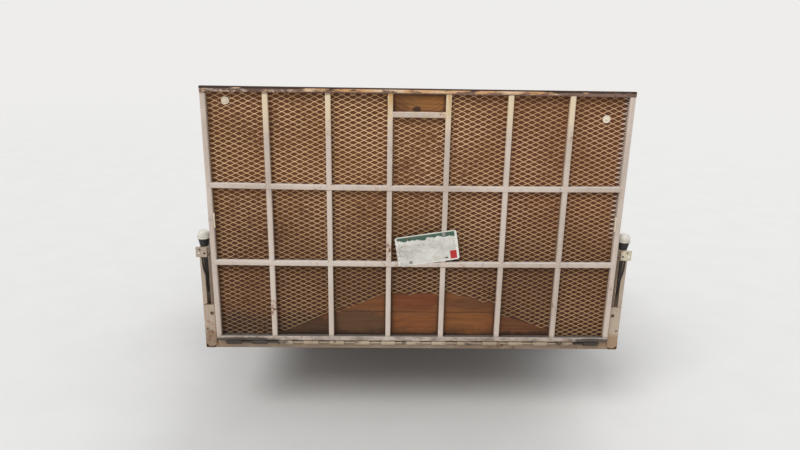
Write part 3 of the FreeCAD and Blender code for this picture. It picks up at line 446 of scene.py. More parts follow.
class Shader(Nodes):
    """One material, with the colour that its coats have given so far."""

    def __init__(self, name):
        self.material = bpy.data.materials.new(name)
        self.material.use_nodes = True
        super().__init__(self.material.node_tree)
        self.shader = self.tree.nodes["Principled BSDF"]
        self.place = self.node("ShaderNodeTexCoord", out="Object")
        self.x, self.y, self.z = self.parts(self.place)
        self.face_x, self.face_y, self.face_z = self.parts(
            self.node("ShaderNodeTexCoord", out="Normal"))
        self.colour = None

    def parts(self, vector):
        return [self.node("ShaderNodeSeparateXYZ", {0: vector}, name) for name in "XYZ"]

    def mapped(self, stretch, shift):
        return self.node("ShaderNodeMapping",
                         {"Vector": self.place, "Scale": stretch, "Location": shift})

    def noise(self, scale, detail=4, rough=0.55, stretch=(1, 1, 1), shift=(0, 0, 0), distort=0.0):
        return self.node("ShaderNodeTexNoise", {
            "Vector": self.mapped(stretch, shift), "Scale": scale, "Detail": detail,
            "Roughness": rough, "Distortion": distort})

    def lines(self, value, scale, detail):
        """Noise along one value, which gives bands across it."""
        return self.node("ShaderNodeTexNoise", {"W": value, "Scale": scale, "Detail": detail},
                         noise_dimensions="1D")

    def spots(self, scale, stretch=(1, 1, 1), shift=(0, 0, 0)):
        return self.node("ShaderNodeTexVoronoi",
                         {"Vector": self.mapped(stretch, shift), "Scale": scale})

    def mix(self, share, first, second, blend="MIX"):
        return self.node("ShaderNodeMix", {0: share, 6: first, 7: second}, 2,
                         data_type="RGBA", blend_type=blend)

    def start(self, value, low, high, first, second):
        """The first colour, from one tint to another as a value rises."""
        self.colour = self.mix(value.band(low, high), first, second)

    def coat(self, mask, tint, blend="MIX"):
        """Lay a tint over the colour so far."""
        self.colour = self.mix(mask, self.colour, tint, blend)

    def film(self, tint, low, high, most, *noise, **more):
        """Lay a tint over the colour so far where a noise is high."""
        self.coat(self.noise(*noise, **more).band(low, high, 0.0, most), tint)

    def dot(self, first, second):
        return self.node("ShaderNodeVectorMath", {0: first, 1: second}, "Value",
                         operation="DOT_PRODUCT")

    def patch(self, x, z, wide, high, ragged=0.5, strength=0.9):
        """A ragged stain about a place on the rear of the trailer."""
        across = (self.x - x) * (1 / wide)
        up = (self.z - z) * (1 / high)
        edge = (self.noise(22, 5, 0.65, shift=(x, 3, z)) - 0.5) * (2 * ragged)
        reach = (across * across + up * up).math("SQRT")
        return (reach + edge).band(1.15, 0.75, 0.0, strength)

    def crevice_grime_and_shade(self, distance, open_at, deep, most):
        """Lay grime and painted shade where faces meet, darkest where ambient occlusion finds
        faces close by.
        """
        near = self.node("ShaderNodeAmbientOcclusion", {"Distance": distance}, "AO", samples=6)
        self.coat(near.band(open_at, deep, 0.0, most), GRIME_AND_SHADE)

    def edge(self, radius):
        """Above zero along edges and corners."""
        soft = self.node("ShaderNodeBevel", {"Radius": radius}, samples=4)
        flat = self.node("ShaderNodeNewGeometry", out="Normal")
        return self.dot(soft, flat).band(0.98, 0.8)

    def finish(self, rough, height, distance, strength, metallic=0.0):
        """Feed the shader, with a bump of a height in metres."""
        bump = self.node("ShaderNodeBump", {"Height": height, "Distance": distance,
                                            "Strength": strength}, "Normal")
        for name, value in (("Normal", bump), ("Base Color", self.colour),
                            ("Roughness", rough), ("Metallic", metallic)):
            self.feed(self.shader.inputs[name], value)
        return self.material


RUST_DARK = (62, 36, 24)
RUST = (112, 66, 38)
RUST_LIGHT = (176, 120, 70)
# Dirt colour, also laid as painted shade where faces meet
GRIME_AND_SHADE = (58, 48, 40)
DAMP = (44, 34, 28)


def aged_paint(name, paint, chalk, rust, grime_and_shade, gloss=0.55, stains=None, shelf=0.55):
    """Old brushed paint on steel: chalky tone, streaks, chips with rust, dirt and painted shade in
    the corners.
    """
    s = Shader(name)
    tone = s.noise(2.3, 5, 0.6).band(0.35, 0.68)
    s.colour = s.mix(tone, paint, chalk)
    s.film((140, 122, 104), 0.5, 0.78, 0.35, 9, 6, 0.7, (1, 1, 0.35), (3, 1, 2))
    s.film((120, 100, 82), 0.52, 0.75, 0.25, 160, 3, 0.7)
    s.film(GRIME_AND_SHADE, 0.56, 0.74, 0.45 * grime_and_shade, 38, 4, 0.6, (1, 1, 0.07))
    # Grime and painted shade where faces meet, from ambient occlusion
    s.crevice_grime_and_shade(0.03, 0.75, 0.25, 0.8 * grime_and_shade)
    upward = s.face_z.band(0.5, 0.9) * s.noise(12, 5, 0.7).band(0.35, 0.6)
    s.coat(upward * (shelf * grime_and_shade), GRIME_AND_SHADE)
    chance = s.noise(4.2, 3, 0.5, shift=(1, 7, 3)) * 0.55 + s.edge(0.004) * 0.13
    chance = chance + s.noise(46, 8, 0.72, shift=(5, 2, 9)) * 0.62
    limit = 0.76 - 0.12 * rust
    s.coat(chance.band(limit - 0.05, limit + 0.03, 0.0, 0.55), RUST_LIGHT)
    chip = chance.band(limit + 0.01, limit + 0.03)
    s.coat(chip, s.mix(s.noise(90, 4, 0.7).band(0.35, 0.65), RUST_DARK, RUST))
    if stains:
        stains(s)
    return s.finish(chip * 0.3 + tone.band(0, 1, gloss, gloss + 0.15),
                    s.noise(70, 5, 0.6) * 0.35 - chip * 0.6, 0.0012, 0.6)


def rusty_steel(name, base, spread, rough, metallic):
    """Bare or thinly coated steel with rust bloom and handling marks."""
    s = Shader(name)
    fine = s.noise(85, 6, 0.7)
    share = s.noise(7, 8, 0.68, shift=(2, 5, 1)) * 0.7 + fine * 0.3
    mask = share.band(0.62 - 0.25 * spread, 0.72 - 0.25 * spread)
    s.colour = s.mix(s.noise(30, 4, 0.6).band(0.35, 0.7, 0.0, 0.4), base, GRIME_AND_SHADE)
    s.coat(mask, s.mix(fine.band(0.35, 0.65), RUST_DARK, RUST))
    # Grime and painted shade where faces meet, from ambient occlusion
    s.crevice_grime_and_shade(0.02, 0.7, 0.3, 0.6)
    return s.finish(mask.band(0, 1, rough, 0.85), fine * 0.5 + mask, 0.0006, 0.5,
                    mask.opposite() * metallic)


def scuffs(s, tint):
    """Smears here and there along the tubes."""
    s.film(tint, 0.56, 0.74, 0.55, 3.1, 6, 0.72, shift=(8, 1, 4))


def gate_stains(s):
    scuffs(s, (150, 130, 114))
    # The upper ends of the inner uprights have yellowed
    fall = (s.z + s.noise(9, 4, 0.6) * 0.12).band(1.56, 1.76)
    inner = abs(s.x).band(0.95, 0.85) * abs(s.x).band(0.118, 0.124)
    s.coat(fall * inner * 0.75, (234, 212, 174))
    # The tops of the uprights left of the middle are painted brown as shade below the top rail
    high = (s.z + s.noise(24, 3, 0.6) * 0.01).band(1.742, 1.75)
    s.coat(high * s.x.band(0.02, -0.06) * 0.8, (128, 98, 78))
    # Orange-yellow runs below the top rail, strongest beside the window
    fall = s.z.band(1.6, 1.75) * abs(s.x + 0.01).band(0.3, 0.13, 0.05, 1.0)
    run = s.noise(34, 5, 0.7, (1, 1, 0.16)).band(0.38, 0.6)
    s.coat(fall * (run * 0.85), (196, 150, 82))
    # A brown film over the bottom rail, with black dirt at its left and right
    film = s.noise(11, 6, 0.7, (1, 1, 2), (4, 4, 4)).band(0.38, 0.62, 0.15, 0.85)
    s.coat(s.z.band(0.545, 0.528) * film, (120, 104, 88))
    s.coat(s.patch(-0.87, 0.509, 0.17, 0.013, 0.5, 0.85), DAMP)
    s.coat(s.patch(0.93, 0.512, 0.12, 0.014, 0.5, 0.85), DAMP)
    # The tops of the rails get a painted highlight where they face up to the light, and dirt lies
    # on the bottom one
    ragged = s.noise(26, 4, 0.6, (1, 3, 3)).band(0.3, 0.48)
    s.coat(s.face_z.band(0.3, 0.7) * ragged * 0.8, (236, 226, 216))
    s.coat(s.face_z.band(0.4, 0.8) * s.z.band(0.56, 0.54, 0.0, 0.85), GRIME_AND_SHADE)


def frame_stains(s):
    """Brown runs below the gate, a rusty foot and pale plates at the right rear, smears."""
    s.coat((s.z + s.noise(16, 4, 0.6) * -0.1).band(0.5, 0.47, 0.0, 0.55), (128, 100, 74))
    foot = s.patch(1.02, 0.5, 0.06, 0.05, 0.7, 0.25)
    s.coat(foot * s.y.band(-2.3, -2.36), (170, 126, 76))
    pale = s.patch(1.062, 0.972, 0.03, 0.034, 0.4, 0.7)
    s.coat(pale * s.y.band(-2.38, -2.42), (214, 206, 178))
    scuffs(s, (128, 110, 94))


def hinge_stains(s):
    """Black, greasy stretches of the hinge."""
    left = s.patch(-0.82, 0.492, 0.17, 0.02, 0.6, 0.95)
    right = s.patch(0.93, 0.492, 0.12, 0.02, 0.6, 0.95)
    ragged = s.noise(13, 6, 0.7, shift=(1, 5, 2)).band(0.55, 0.64, 0.0, 0.8)
    s.coat(left.most(right).most(ragged), DAMP)


def top_rail_paint(name):
    """The gate's top rail: rust nearly all over, with a ragged pale band along the upper part of
    its front.
    """
    s = Shader(name)
    fine = s.noise(120, 5, 0.7)
    s.start(s.noise(5, 6, 0.65, (1, 3, 3)), 0.35, 0.65, (104, 78, 64), (136, 108, 92))
    s.coat(fine.band(0.45, 0.75), (70, 48, 38))
    edge = s.z + s.noise(19, 5, 0.7, (1, 1, 2)) * 0.006
    s.coat(edge.band(1.7665, 1.7695), (58, 38, 30))
    flecks = s.noise(34, 5, 0.7, (1, 2, 2), (1, 8, 3)).band(0.5, 0.58)
    flecks = flecks * s.x.band(-0.52, -0.62) * s.z.band(1.766, 1.762)
    s.coat(flecks * 0.8, (204, 184, 168))
    middle = abs(s.x - 0.03).band(0.75, 0.45, 0.1, 0.6)
    cream = (s.noise(11, 6, 0.7, (1, 2, 5), (4, 0, 1)) + middle * 0.3).band(0.6, 0.68)
    ridge = s.z.band(1.7705, 1.768) * s.z.band(1.754, 1.757)
    cream = cream * ridge
    tint = s.noise(7, 3, 0.5, shift=(3, 0, 0)).band(0.4, 0.6)
    s.coat(cream, s.mix(tint, (228, 196, 158), (206, 152, 100)))
    return s.finish(cream.band(0, 1, 0.85, 0.6), fine + cream * 0.5, 0.0008, 0.6)


PLY_SEAM = 0.6545
KNOT_X, KNOT_Z = -0.008, 1.68
# Tones of the plywood: middle across and up, half width and height, strength, colour
PLY_TONES = (
    (-0.28, 0.58, 0.19, 0.09, 0.85, (92, 74, 60)),
    (-0.6, 0.57, 0.2, 0.08, 0.9, (64, 48, 38)),
    (0.0, 0.72, 0.15, 0.06, 0.75, (122, 66, 38)),
    (0.0, 0.6, 0.15, 0.05, 0.7, (140, 88, 50)),
    (0.28, 0.6, 0.16, 0.06, 0.75, (142, 94, 50)),
    (0.58, 0.6, 0.16, 0.07, 0.75, (104, 66, 42)),
    (-0.9, 0.58, 0.13, 0.07, 0.85, (48, 36, 30)),
    (0.31, 0.7, 0.15, 0.03, 0.6, (92, 58, 40)),
    (0.0, 0.519, 0.5, 0.02, 0.75, (70, 44, 30)),
    (0.479, 0.533, 0.035, 0.017, 0.85, (44, 28, 22)),
    (0.66, 0.53, 0.1, 0.02, 0.7, (50, 32, 24)),
    (-0.45, 0.53, 0.2, 0.02, 0.75, (52, 38, 30)),
    (0.07, 1.712, 0.07, 0.03, 0.55, (158, 104, 56)),
    (-0.09, 1.69, 0.05, 0.03, 0.5, (96, 58, 36)))


def dusk(s):
    """The colour so far, deeper towards the foot of the gate and a little to the right."""
    height = s.z + s.noise(3.3, 3, 0.5, shift=(2, 2, 6)) * 0.1
    tint = s.mix(height.band(0.84, 1.5), (0.46, 0.37, 0.29), (1.0, 0.9, 0.86))
    right = s.x.band(0.05, 0.45) * s.z.band(0.92, 1.2)
    tint = s.mix(right * 0.6, tint, (0.74, 0.58, 0.54))
    outer = abs(s.x).band(0.68, 0.76) * s.z.band(0.58, 0.66)
    tint = s.mix(outer * s.z.band(1.0, 0.9), tint, (0.54, 0.43, 0.35))
    return s.mix(1.0, s.colour, tint, "MULTIPLY")


def plywood(name):
    """Weathered plywood: long grain, cathedral figures, knots, damp stains, layered edges."""
    s = Shader(name)
    rear = s.face_y.band(-0.2, -0.6)
    offset = s.x - KNOT_X
    arch = s.z.band(1.62, 1.66) * rear * (offset * offset * -2.2).math("MINIMUM")
    warp = s.noise(1.6, 3, 0.5, (1, 1, 3.5), (2, 0, 5))
    figure = s.lines(s.z + warp * 0.35 + arch.most(-0.035), 46.0, 2)
    fibre = s.noise(60, 5, 0.7, (0.05, 1, 1.6))
    thin = s.noise(190, 4, 0.7, (0.03, 1, 1.8), (0, 2, 0))
    above = s.z - GATE_BOTTOM
    for start, end, low, high in TORN_BAYS:
        inside = s.x.math("GREATER_THAN", start) * s.x.math("LESS_THAN", end)
        line = (s.x - start) * ((high - low) / (end - start)) + low
        above = above - inside * line
    window = abs(s.x).band(0.126, 0.122) * s.z.band(1.65, 1.656) * rear
    # Painted shade: the mesh's shadow on the sheet behind it, a contact shadow beside each upright
    # and one below the top rail
    behind = above.band(-0.006, 0.012) * rear * window.opposite()
    shade = behind * 0.55
    for middle in UPRIGHTS:
        shade = shade.most(abs(s.x - middle).band(0.03, 0.013, 0.0, 0.85))
    shade = shade.most(s.z.band(1.728, 1.75, 0.0, 0.85)) * rear
    s.start(s.noise(1.3, 3, 0.5, shift=(7, 0, 2)), 0.35, 0.65, (126, 84, 52), (146, 100, 64))
    for *spot, strength, tint in PLY_TONES:
        s.coat(s.patch(*spot, 0.5, strength) * rear, tint)
    weather = s.noise(2.1, 6, 0.65, (1, 1, 0.5), (1, 1, 8)).band(0.38, 0.66)
    s.coat(weather * rear.band(1.0, 0.0, 0.0, 0.75), (136, 118, 98))
    s.coat(figure.band(0.42, 0.64) * (window * 0.45 + 0.22), (84, 50, 28))
    s.coat(fibre.band(0.45, 0.72, 0.0, 0.45), (78, 52, 36))
    s.coat(thin.band(0.5, 0.75, 0.0, 0.4), (160, 118, 80))
    knot = s.spots(2.6, (0.8, 1, 1.5), (0.36, 0, 0.12))
    s.coat(knot.band(0.085, 0.03, 0.0, 0.85), (60, 36, 24))
    s.coat(s.patch(KNOT_X, KNOT_Z, 0.02, 0.013, 0.3, 0.9), (50, 28, 20))
    damp = s.z + s.noise(7, 5, 0.65) * -0.16
    s.coat(damp.band(0.5, 0.42, 0.0, 0.8), DAMP)
    s.coat(abs(s.z - PLY_SEAM).band(0.003, 0.0008, 0.0, 0.7), DAMP)
    layer = s.lines(s.y, 520.0, 0).band(0.46, 0.54)
    s.coat(abs(s.face_y).band(0.6, 0.4), s.mix(layer, (96, 68, 46), (150, 112, 74)))
    tint = s.mix(rear, (1.0, 0.88, 0.7), (0.82, 0.66, 0.42))
    tint = s.mix(behind, tint, (0.94, 0.78, 0.56))
    tint = s.mix(window, tint, (1.16, 1.12, 0.8))
    s.coat(1.0, tint, "MULTIPLY")
    # Lay the painted shade and shadows on the rear face
    s.coat(shade, (78, 48, 26))
    s.coat(behind, dusk(s))
    return s.finish(fibre.band(0.3, 0.7, 0.76, 0.9), figure + fibre + thin, 0.001, 0.5)


def expanded_steel(name):
    """The gate's mesh: the same cream paint, thinner, with rust at the bonds."""
    s = Shader(name)
    s.start(s.noise(3.4, 4, 0.6), 0.35, 0.65, (232, 202, 158), (204, 172, 124))
    speck = s.noise(70, 5, 0.75)
    share = speck * 0.6 + s.noise(2.2, 4, 0.6, shift=(4, 4, 1)) * 0.4
    s.coat(share.band(0.53, 0.62, 0.0, 0.75), RUST)
    s.coat((s.z + s.x * 0.25).band(0.52, 0.38, 0.0, 0.45), (104, 90, 74))
    s.colour = dusk(s)
    # Painted highlight: a pale strip at the right edge of the mesh, standing in for the lit inner
    # face of the outer tube
    s.coat(s.x.band(0.954, 0.966) * s.z.band(1.02, 1.12) * 0.9, (224, 210, 194))
    return s.finish(share.band(0.4, 0.6, 0.62, 0.8), speck, 0.0004, 0.4)


def deck_wood(name):
    """Old boards of the bed: grey-brown, long grain, each board a little different."""
    s = Shader(name)
    island = s.node("ShaderNodeNewGeometry", out="Random Per Island")
    grain = s.noise(70, 6, 0.7, (1, 0.035, 1), distort=0.4)
    s.colour = s.mix(island, (132, 112, 90), (106, 90, 74))
    s.film((88, 72, 58), 0.35, 0.7, 0.7, 9, 4, 0.6, (1, 0.12, 1))
    s.coat(grain.band(0.5, 0.68, 0.0, 0.8), (52, 42, 34))
    s.film(GRIME_AND_SHADE, 0.5, 0.75, 0.5, 2.2, 5, 0.6)
    s.coat(s.spots(3.1, (2.2, 0.7, 1), (0.3, 0.1, 0)).band(0.1, 0.04, 0.0, 0.8), (58, 42, 32))
    crack = s.noise(26, 3, 0.5, (1, 0.02, 1), (2, 9, 4)).band(0.66, 0.7)
    s.coat(crack, (28, 22, 18))
    return s.finish(grain.band(0.3, 0.7, 0.82, 0.92), grain - crack, 0.0016, 0.7)


def rubber(name):
    """Old tyre rubber, greyed and dusty."""
    s = Shader(name)
    dust = s.noise(6, 6, 0.65)
    fine = s.noise(220, 4, 0.7)
    s.start(dust, 0.35, 0.7, (30, 30, 31), (62, 58, 54))
    s.coat(fine.band(0.5, 0.8, 0.0, 0.4), (96, 88, 78))
    near = s.node("ShaderNodeAmbientOcclusion", {"Distance": 0.012}, "AO", samples=6)
    s.coat(near.band(0.7, 0.2, 0.0, 0.5), (88, 78, 66))
    return s.finish(dust.band(0.3, 0.7, 0.62, 0.85), fine, 0.0003, 0.5)


def plastic(name, first, second, rough):
    """Moulded plastic or rubber with scuffs and dust."""
    s = Shader(name)
    cloud = s.noise(22, 5, 0.6)
    fine = s.noise(380, 3, 0.6)
    s.start(cloud, 0.35, 0.7, first, second)
    s.coat(fine.band(0.55, 0.8, 0.0, 0.25), GRIME_AND_SHADE)
    # Grime and painted shade where faces meet, from ambient occlusion
    s.crevice_grime_and_shade(0.006, 0.8, 0.3, 0.5)
    return s.finish(cloud.band(0.3, 0.7, rough, rough + 0.15), fine, 0.0002, 0.4)


def zinc(name, tint):
    """Zinc-plated steel with faint spangle and white bloom."""
    s = Shader(name)
    bloom = s.noise(30, 6, 0.7)
    s.start(s.spots(90), 0.1, 0.7, tint, tuple(c * 0.75 for c in linear(*tint)))
    s.coat(bloom.band(0.52, 0.66, 0.0, 0.6), (150, 140, 128))
    s.coat(bloom.band(0.7, 0.76, 0.0, 0.8), RUST)
    return s.finish(bloom.band(0.3, 0.7, 0.38, 0.62), bloom, 0.0003, 0.4, 0.7)


# Number plate: its middle and its own directions
TAG_TILT = radians(9)
TAG_MIDDLE = Vector((0.057, GATE_FRONT - 0.0005, GATE_BOTTOM + 0.502))
TAG_ACROSS = Vector((cos(TAG_TILT), 0, sin(TAG_TILT)))
TAG_UP = Vector((-sin(TAG_TILT), 0, cos(TAG_TILT)))


def blank_tag(name):
    """A blank plate: pale field, a plain green band along its top, a plain red corner, grime."""
    s = Shader(name)
    across, up = [s.dot(s.place, way) - TAG_MIDDLE.dot(way) for way in (TAG_ACROSS, TAG_UP)]
    cloud = s.noise(30, 5, 0.65)
    s.start(cloud, 0.35, 0.7, (224, 221, 212), (202, 198, 188))
    peaks = s.lines(across, 26.0, 3).band(0.3, 0.72) * 0.015
    s.coat((up - peaks).band(0.043, 0.045), (58, 92, 74))
    wide = across.band(0.108, 0.11) * across.band(0.144, 0.142)
    s.coat(wide * up.band(-0.026, -0.028) * up.band(-0.07, -0.068), (186, 38, 40))
    rim = (abs(across) * 0.5).most(abs(up))
    s.coat(rim.band(0.07, 0.0712, 0.0, 0.95), (234, 231, 222))
    speck = s.noise(95, 6, 0.75) + across.band(-0.1, -0.14, 0.0, 0.08)
    s.coat(speck.band(0.6, 0.68, 0.0, 0.8), (88, 76, 66))
    s.film((128, 112, 96), 0.5, 0.72, 0.45, 14, 5, 0.7, (0.4, 1, 1.4), (3, 0, 1))
    # Grime and painted shade where faces meet, from ambient occlusion
    s.crevice_grime_and_shade(0.008, 0.8, 0.4, 0.7)
    return s.finish(cloud.band(0.3, 0.7, 0.42, 0.6), cloud, 0.0003, 0.3, 0.1)


# Each material's name, its maker and what the maker is given
MATERIALS = {}
for look, maker, *values in (
        ("gate_paint", aged_paint, (212, 196, 182), (194, 177, 163), 0.42, 0.5, 0.55,
         gate_stains, 0.1),
        ("frame_paint", aged_paint, (190, 172, 152), (168, 150, 130), 0.72, 0.75, 0.55,
         frame_stains),
        ("fender_paint", aged_paint, (190, 174, 156), (170, 152, 134), 0.6, 0.7),
        ("hinge_steel", aged_paint, (188, 170, 144), (160, 140, 116), 0.62, 0.9, 0.55,
         hinge_stains),
        ("rim_paint", aged_paint, (212, 204, 192), (192, 182, 168), 0.45, 0.6, 0.4),
        ("washer_paint", aged_paint, (240, 226, 202), (226, 208, 182), 0.2, 0.35),
        ("top_rail", top_rail_paint), ("mesh_paint", expanded_steel), ("planks", deck_wood),
        ("plywood", plywood), ("tyre", rubber), ("tag_metal", blank_tag),
        ("boot_rubber", plastic, (20, 20, 21), (40, 38, 36), 0.5),
        ("wire_plastic", plastic, (16, 16, 17), (32, 31, 30), 0.45),
        ("lamp_plastic", plastic, (222, 216, 204), (196, 188, 174), 0.25),
        ("grip_rubber", plastic, (24, 24, 25), (44, 42, 40), 0.6),
        ("coupler_steel", rusty_steel, (58, 56, 54), 0.45, 0.5, 0.4),
        ("axle_steel", rusty_steel, (44, 43, 44), 0.4, 0.5, 0.4),
        ("spring_steel", rusty_steel, (48, 46, 46), 0.55, 0.55, 0.6),
        ("hub_steel", rusty_steel, (92, 88, 84), 0.35, 0.5, 0.6),
        ("jack_steel", zinc, (150, 152, 154)),
        ("bolt_steel", zinc, (176, 174, 168))):
    MATERIALS[look] = maker(look, *values)

random.seed(7)

# Ramp gate: the rails run through and lap over the outer tubes, uprights stand between them
SET_BACK = 0.0012
LAP = 0.0105
BOLTS = ((0.11 - GATE_HALF, GATE_TOP - 0.067), (GATE_HALF - 0.12, GATE_TOP - 0.129))


def gate_frame():
    half = TUBE / 2
    base, top, short = GATE_BOTTOM, GATE_TOP - TUBE, GATE_BOTTOM + SHORT_RAIL
    reach = GATE_HALF - TUBE + LAP
    rails = ((base + half, 0.0), (base + LOW_RAIL, LOW_SAG), (base + MID_RAIL, MID_SAG))
    solid, welds, rail = Solid(), Solid(), Solid()

    def level(low, high, back, z, wobble, sag=0.0):
        tube(solid, (low, GATE_FRONT + back, z - half), (high, GATE_BACK, z + half), "x",
             0.0035, 0.0021, 0.1, wobble, sag)

    def upright(x, back, low, high):
        tube(solid, (x - half, GATE_FRONT + back, low), (x + half, GATE_BACK, high), "z",
             0.0035, 0.0021, 0.12, 0.0003)

    def weld(x, y, z, out, height):
        seam(welds, x, y, z, out, 0.0055, height)

    for centre, sag in rails:
        level(-reach, reach, 0.0, centre, 0.0004, sag)
    level(UPRIGHTS[3], UPRIGHTS[4], 0.0006, short, 0.0003)
    for x in (UPRIGHTS[0], UPRIGHTS[-1]):
        upright(x, SET_BACK, base, top)
    for x in UPRIGHTS[1:-1]:
        levels = [height - dip(sag, x / reach) for height, sag in rails] + [top + half]
        for low, high in zip(levels, levels[1:]):
            low, high = low + half, high - half
            upright(x, 0.0008, low - 0.001, high + 0.001)
            for height in (low, high):
                weld((x - half + 0.003, x + half - 0.003), GATE_FRONT + 0.0012, height,
                     (0, -1, 0), 0.0012)
                for side in WAYS:
                    weld(x + side * half, (GATE_FRONT + 0.004, GATE_BACK - 0.002), height,
                         (side, 0, 0.3), 0.0014)
    for way in WAYS:
        for centre, sag in rails:
            for side in WAYS:
                weld((way * (reach - LAP - 0.002), way * (reach - 0.001)), GATE_FRONT + 0.003,
                     centre + side * half, (0, -1, side), 0.0016)
    for x in (UPRIGHTS[3] + half, UPRIGHTS[4] - half):
        weld(x, GATE_FRONT + 0.0008, (short - 0.01, short + 0.01), (0, -1, 0), 0.0008)
    solid.build("gate_tubes", "gate", "gate_paint", "gate_frame")
    welds.build("gate_welds", "gate", "gate_paint", angle=60)
    tube(rail, (-GATE_HALF, GATE_FRONT, top), gate_high, "x", 0.003, 0.0021, 0.08, 0.0004)
    rail.build("gate_top_rail", "gate", "gate_paint", "gate_frame", look="top_rail")


def torn_floor(x):
    """How high the torn lower edge of the mesh stands at a place across the gate."""
    for start, end, low, high in TORN_BAYS:
        if start < x <= end:
            return low + (high - low) * (x - start) / (end - start)
    return 0.0


STRAND_WIDE = 0.0036
STRAND_THICK = 0.0016
STRAND_LEAN = radians(32)
BOND = 0.0085


def gate_mesh():
    """Rows of wavy strands that touch at the bonds, torn away in an arch at the bottom."""
    low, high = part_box("gate_mesh")
    middle_y = (low.y + high.y) / 2
    columns = int((high.x - low.x) / (DIAMOND_LONG / 2))
    lift = DIAMOND_SHORT / 4 - STRAND_WIDE * 0.3
    edge = lift + STRAND_WIDE / 2
    rows = int((high.z - low.z - 2 * edge) / (DIAMOND_SHORT / 2))
    lean, rise = cos(STRAND_LEAN) / 2, sin(STRAND_LEAN) / 2
    section = [(u * STRAND_WIDE * lean - v * STRAND_THICK * rise,
                u * STRAND_WIDE * rise + v * STRAND_THICK * lean)
               for u, v in ((-1, -1), (1, -1), (1, 1), (-1, 1))]
    solid = Solid()
    for row in range(rows + 1):
        centre = low.z + edge + row * DIAMOND_SHORT / 2
        run = []
        for column in range(columns + 1):
            x = (column - columns / 2) * DIAMOND_LONG / 2
            z = centre + (1 if (row + column) % 2 else -1) * lift
            floor = GATE_BOTTOM + torn_floor(x) + random.uniform(-0.006, 0.008)
            window = UPRIGHTS[3] < x < UPRIGHTS[4] and z > GATE_BOTTOM + SHORT_RAIL - 0.004
            keep = z > floor and not window
            if keep:
                run += [(x + end * BOND / 2, z, random.uniform(-0.0003, 0.0003)) for end in WAYS]
            if not keep or column == columns:
                if len(run) > 2:
                    solid.rings([[(x, middle_y + bow + v, z + u) for u, v in section]
                                 for x, z, bow in run])
                run = []
    solid.build("expanded_mesh", "gate", "mesh_paint", "gate_mesh", angle=25)


def ragged(low_x, low_z, high_x, high_z):
    """The outline of a sawn sheet whose edges have splintered a little."""
    step, chip = 0.021, 0.0016
    corners = [(low_x, low_z), (high_x, low_z), (high_x, high_z), (low_x, high_z)]
    loop = []
    for start, end in zip(corners, corners[1:] + corners[:1]):
        run = Vector(end) - Vector(start)
        inward = Vector((-run.y, run.x)).normalized()
        count = round(run.length / step)
        loop += [tuple(Vector(start) + run * (k / count)
                       + inward * (random.uniform(0, chip) ** 2 / chip)) for k in range(count)]
    return loop


def gate_plywood():
    """Two sheets that meet in a seam, their edges a little splintered."""
    low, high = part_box("gate_plywood")
    solid = Solid()
    for bottom, top, holes in ((low.z, PLY_SEAM - 0.0005, ()), (PLY_SEAM + 0.0005, high.z, BOLTS)):
        loops = [ragged(low.x, bottom, high.x, top)]
        loops += [circle(x, z, 0.0053, 16) for x, z in holes]
        plate(solid, loops, high.y - low.y, (0, (low.y + high.y) / 2, 0), RIGHT, FLAT, 0.0005)
    solid.build("plywood_sheets", "gate", "plywood", "gate_plywood")


def gate_fittings():
    """Two bolts through dished washers, their nuts behind, and a catch tab at each side."""
    painted, plated = Solid(), Solid()
    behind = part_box("gate_plywood")[1].y
    for x, z in BOLTS:
        place = Vector((x, GATE_BACK, z))
        painted.lathe(mm(0, 5.3, 0, 18.5, 2.6, 18, 3, 17.2, 2.6, 16, 1.4, 13.5, 1.4, 5.3),
                      place, -AHEAD, 32, True)
        painted.lathe(mm(1.4, 8.8, 2.2, 9.2, 3.6, 8.6, 5, 6.8, 6.1, 4, 6.4, 0), place, -AHEAD, 24)
        thread(plated, place, AHEAD, 0.0048, 0.0235)
        washer(plated, (x, behind, z), AHEAD, 0.0125, 0.0053, 0.0015)
        hexagon(plated, (x, behind + 0.0015, z), AHEAD, 0.0088, 0.0058)
    base = GATE_BOTTOM + 0.597
    for sign in WAYS:
        x = sign * (GATE_HALF - TUBE - 0.0025)
        plate(painted, [rounded(0.012, 0.074, 0.003)], 0.005,
              (x, GATE_FRONT + 0.006, base + 0.037), AHEAD, FLAT, 0.0008)
        for z in (base + 0.006, base + 0.068):
            seam(painted, x - sign * 0.003, GATE_FRONT + 0.004, (z - 0.006, z + 0.006),
                 (-sign, -1, 0), 0.004, 0.0014)
    painted.build("gate_washers_tabs", "gate", "bolt_steel", "gate_fittings", look="washer_paint")
    plated.build("gate_bolts", "gate", "bolt_steel", "gate_fittings")


def gate_tag():
    """A blank plate with rounded corners, a raised rim and four slots, hung askew by two bolts."""
    outline = rounded(0.3048, 0.1524, 0.012, 5)
    slots = [rounded(0.016, 0.007, 0.0034, 4, a * 0.0889, b * 0.0603) for a in WAYS for b in WAYS]
    rim = [inset(leftward(outline, True), depth) for depth in (0.0018, 0.0045)]
    solid, heads = Solid(), Solid()
    plate(solid, [outline] + slots, 0.001, TAG_MIDDLE, TAG_ACROSS, TAG_UP, 0.0002)
    plate(solid, rim, 0.0008, TAG_MIDDLE - AHEAD * 0.0006, TAG_ACROSS, TAG_UP, 0.0003)
    solid.build("blank_tag", "gate", "tag_metal", "gate_tag")
    for way in WAYS:
        place = TAG_MIDDLE + (TAG_ACROSS * 0.0889 + TAG_UP * 0.0603) * way - AHEAD * 0.0005
        washer(heads, place, -AHEAD, 0.0085, 0.003, 0.0009)
        hexagon(heads, place - AHEAD * 0.0009, -AHEAD, 0.0056, 0.0036)
    heads.build("tag_bolts", "gate", "bolt_steel", "gate_tag")


# Hinge along the foot of the gate
KNUCKLE = 0.0127
KNUCKLE_LONG = 0.075
KNUCKLE_BORE = 0.0064
HINGE_Z = GATE_BOTTOM - 0.001 - KNUCKLE
HINGE_Y = GATE_FRONT + KNUCKLE
HINGE_HALF = GATE_HALF - 0.0475
HINGE_PITCH = (2 * HINGE_HALF - KNUCKLE_LONG) / 14


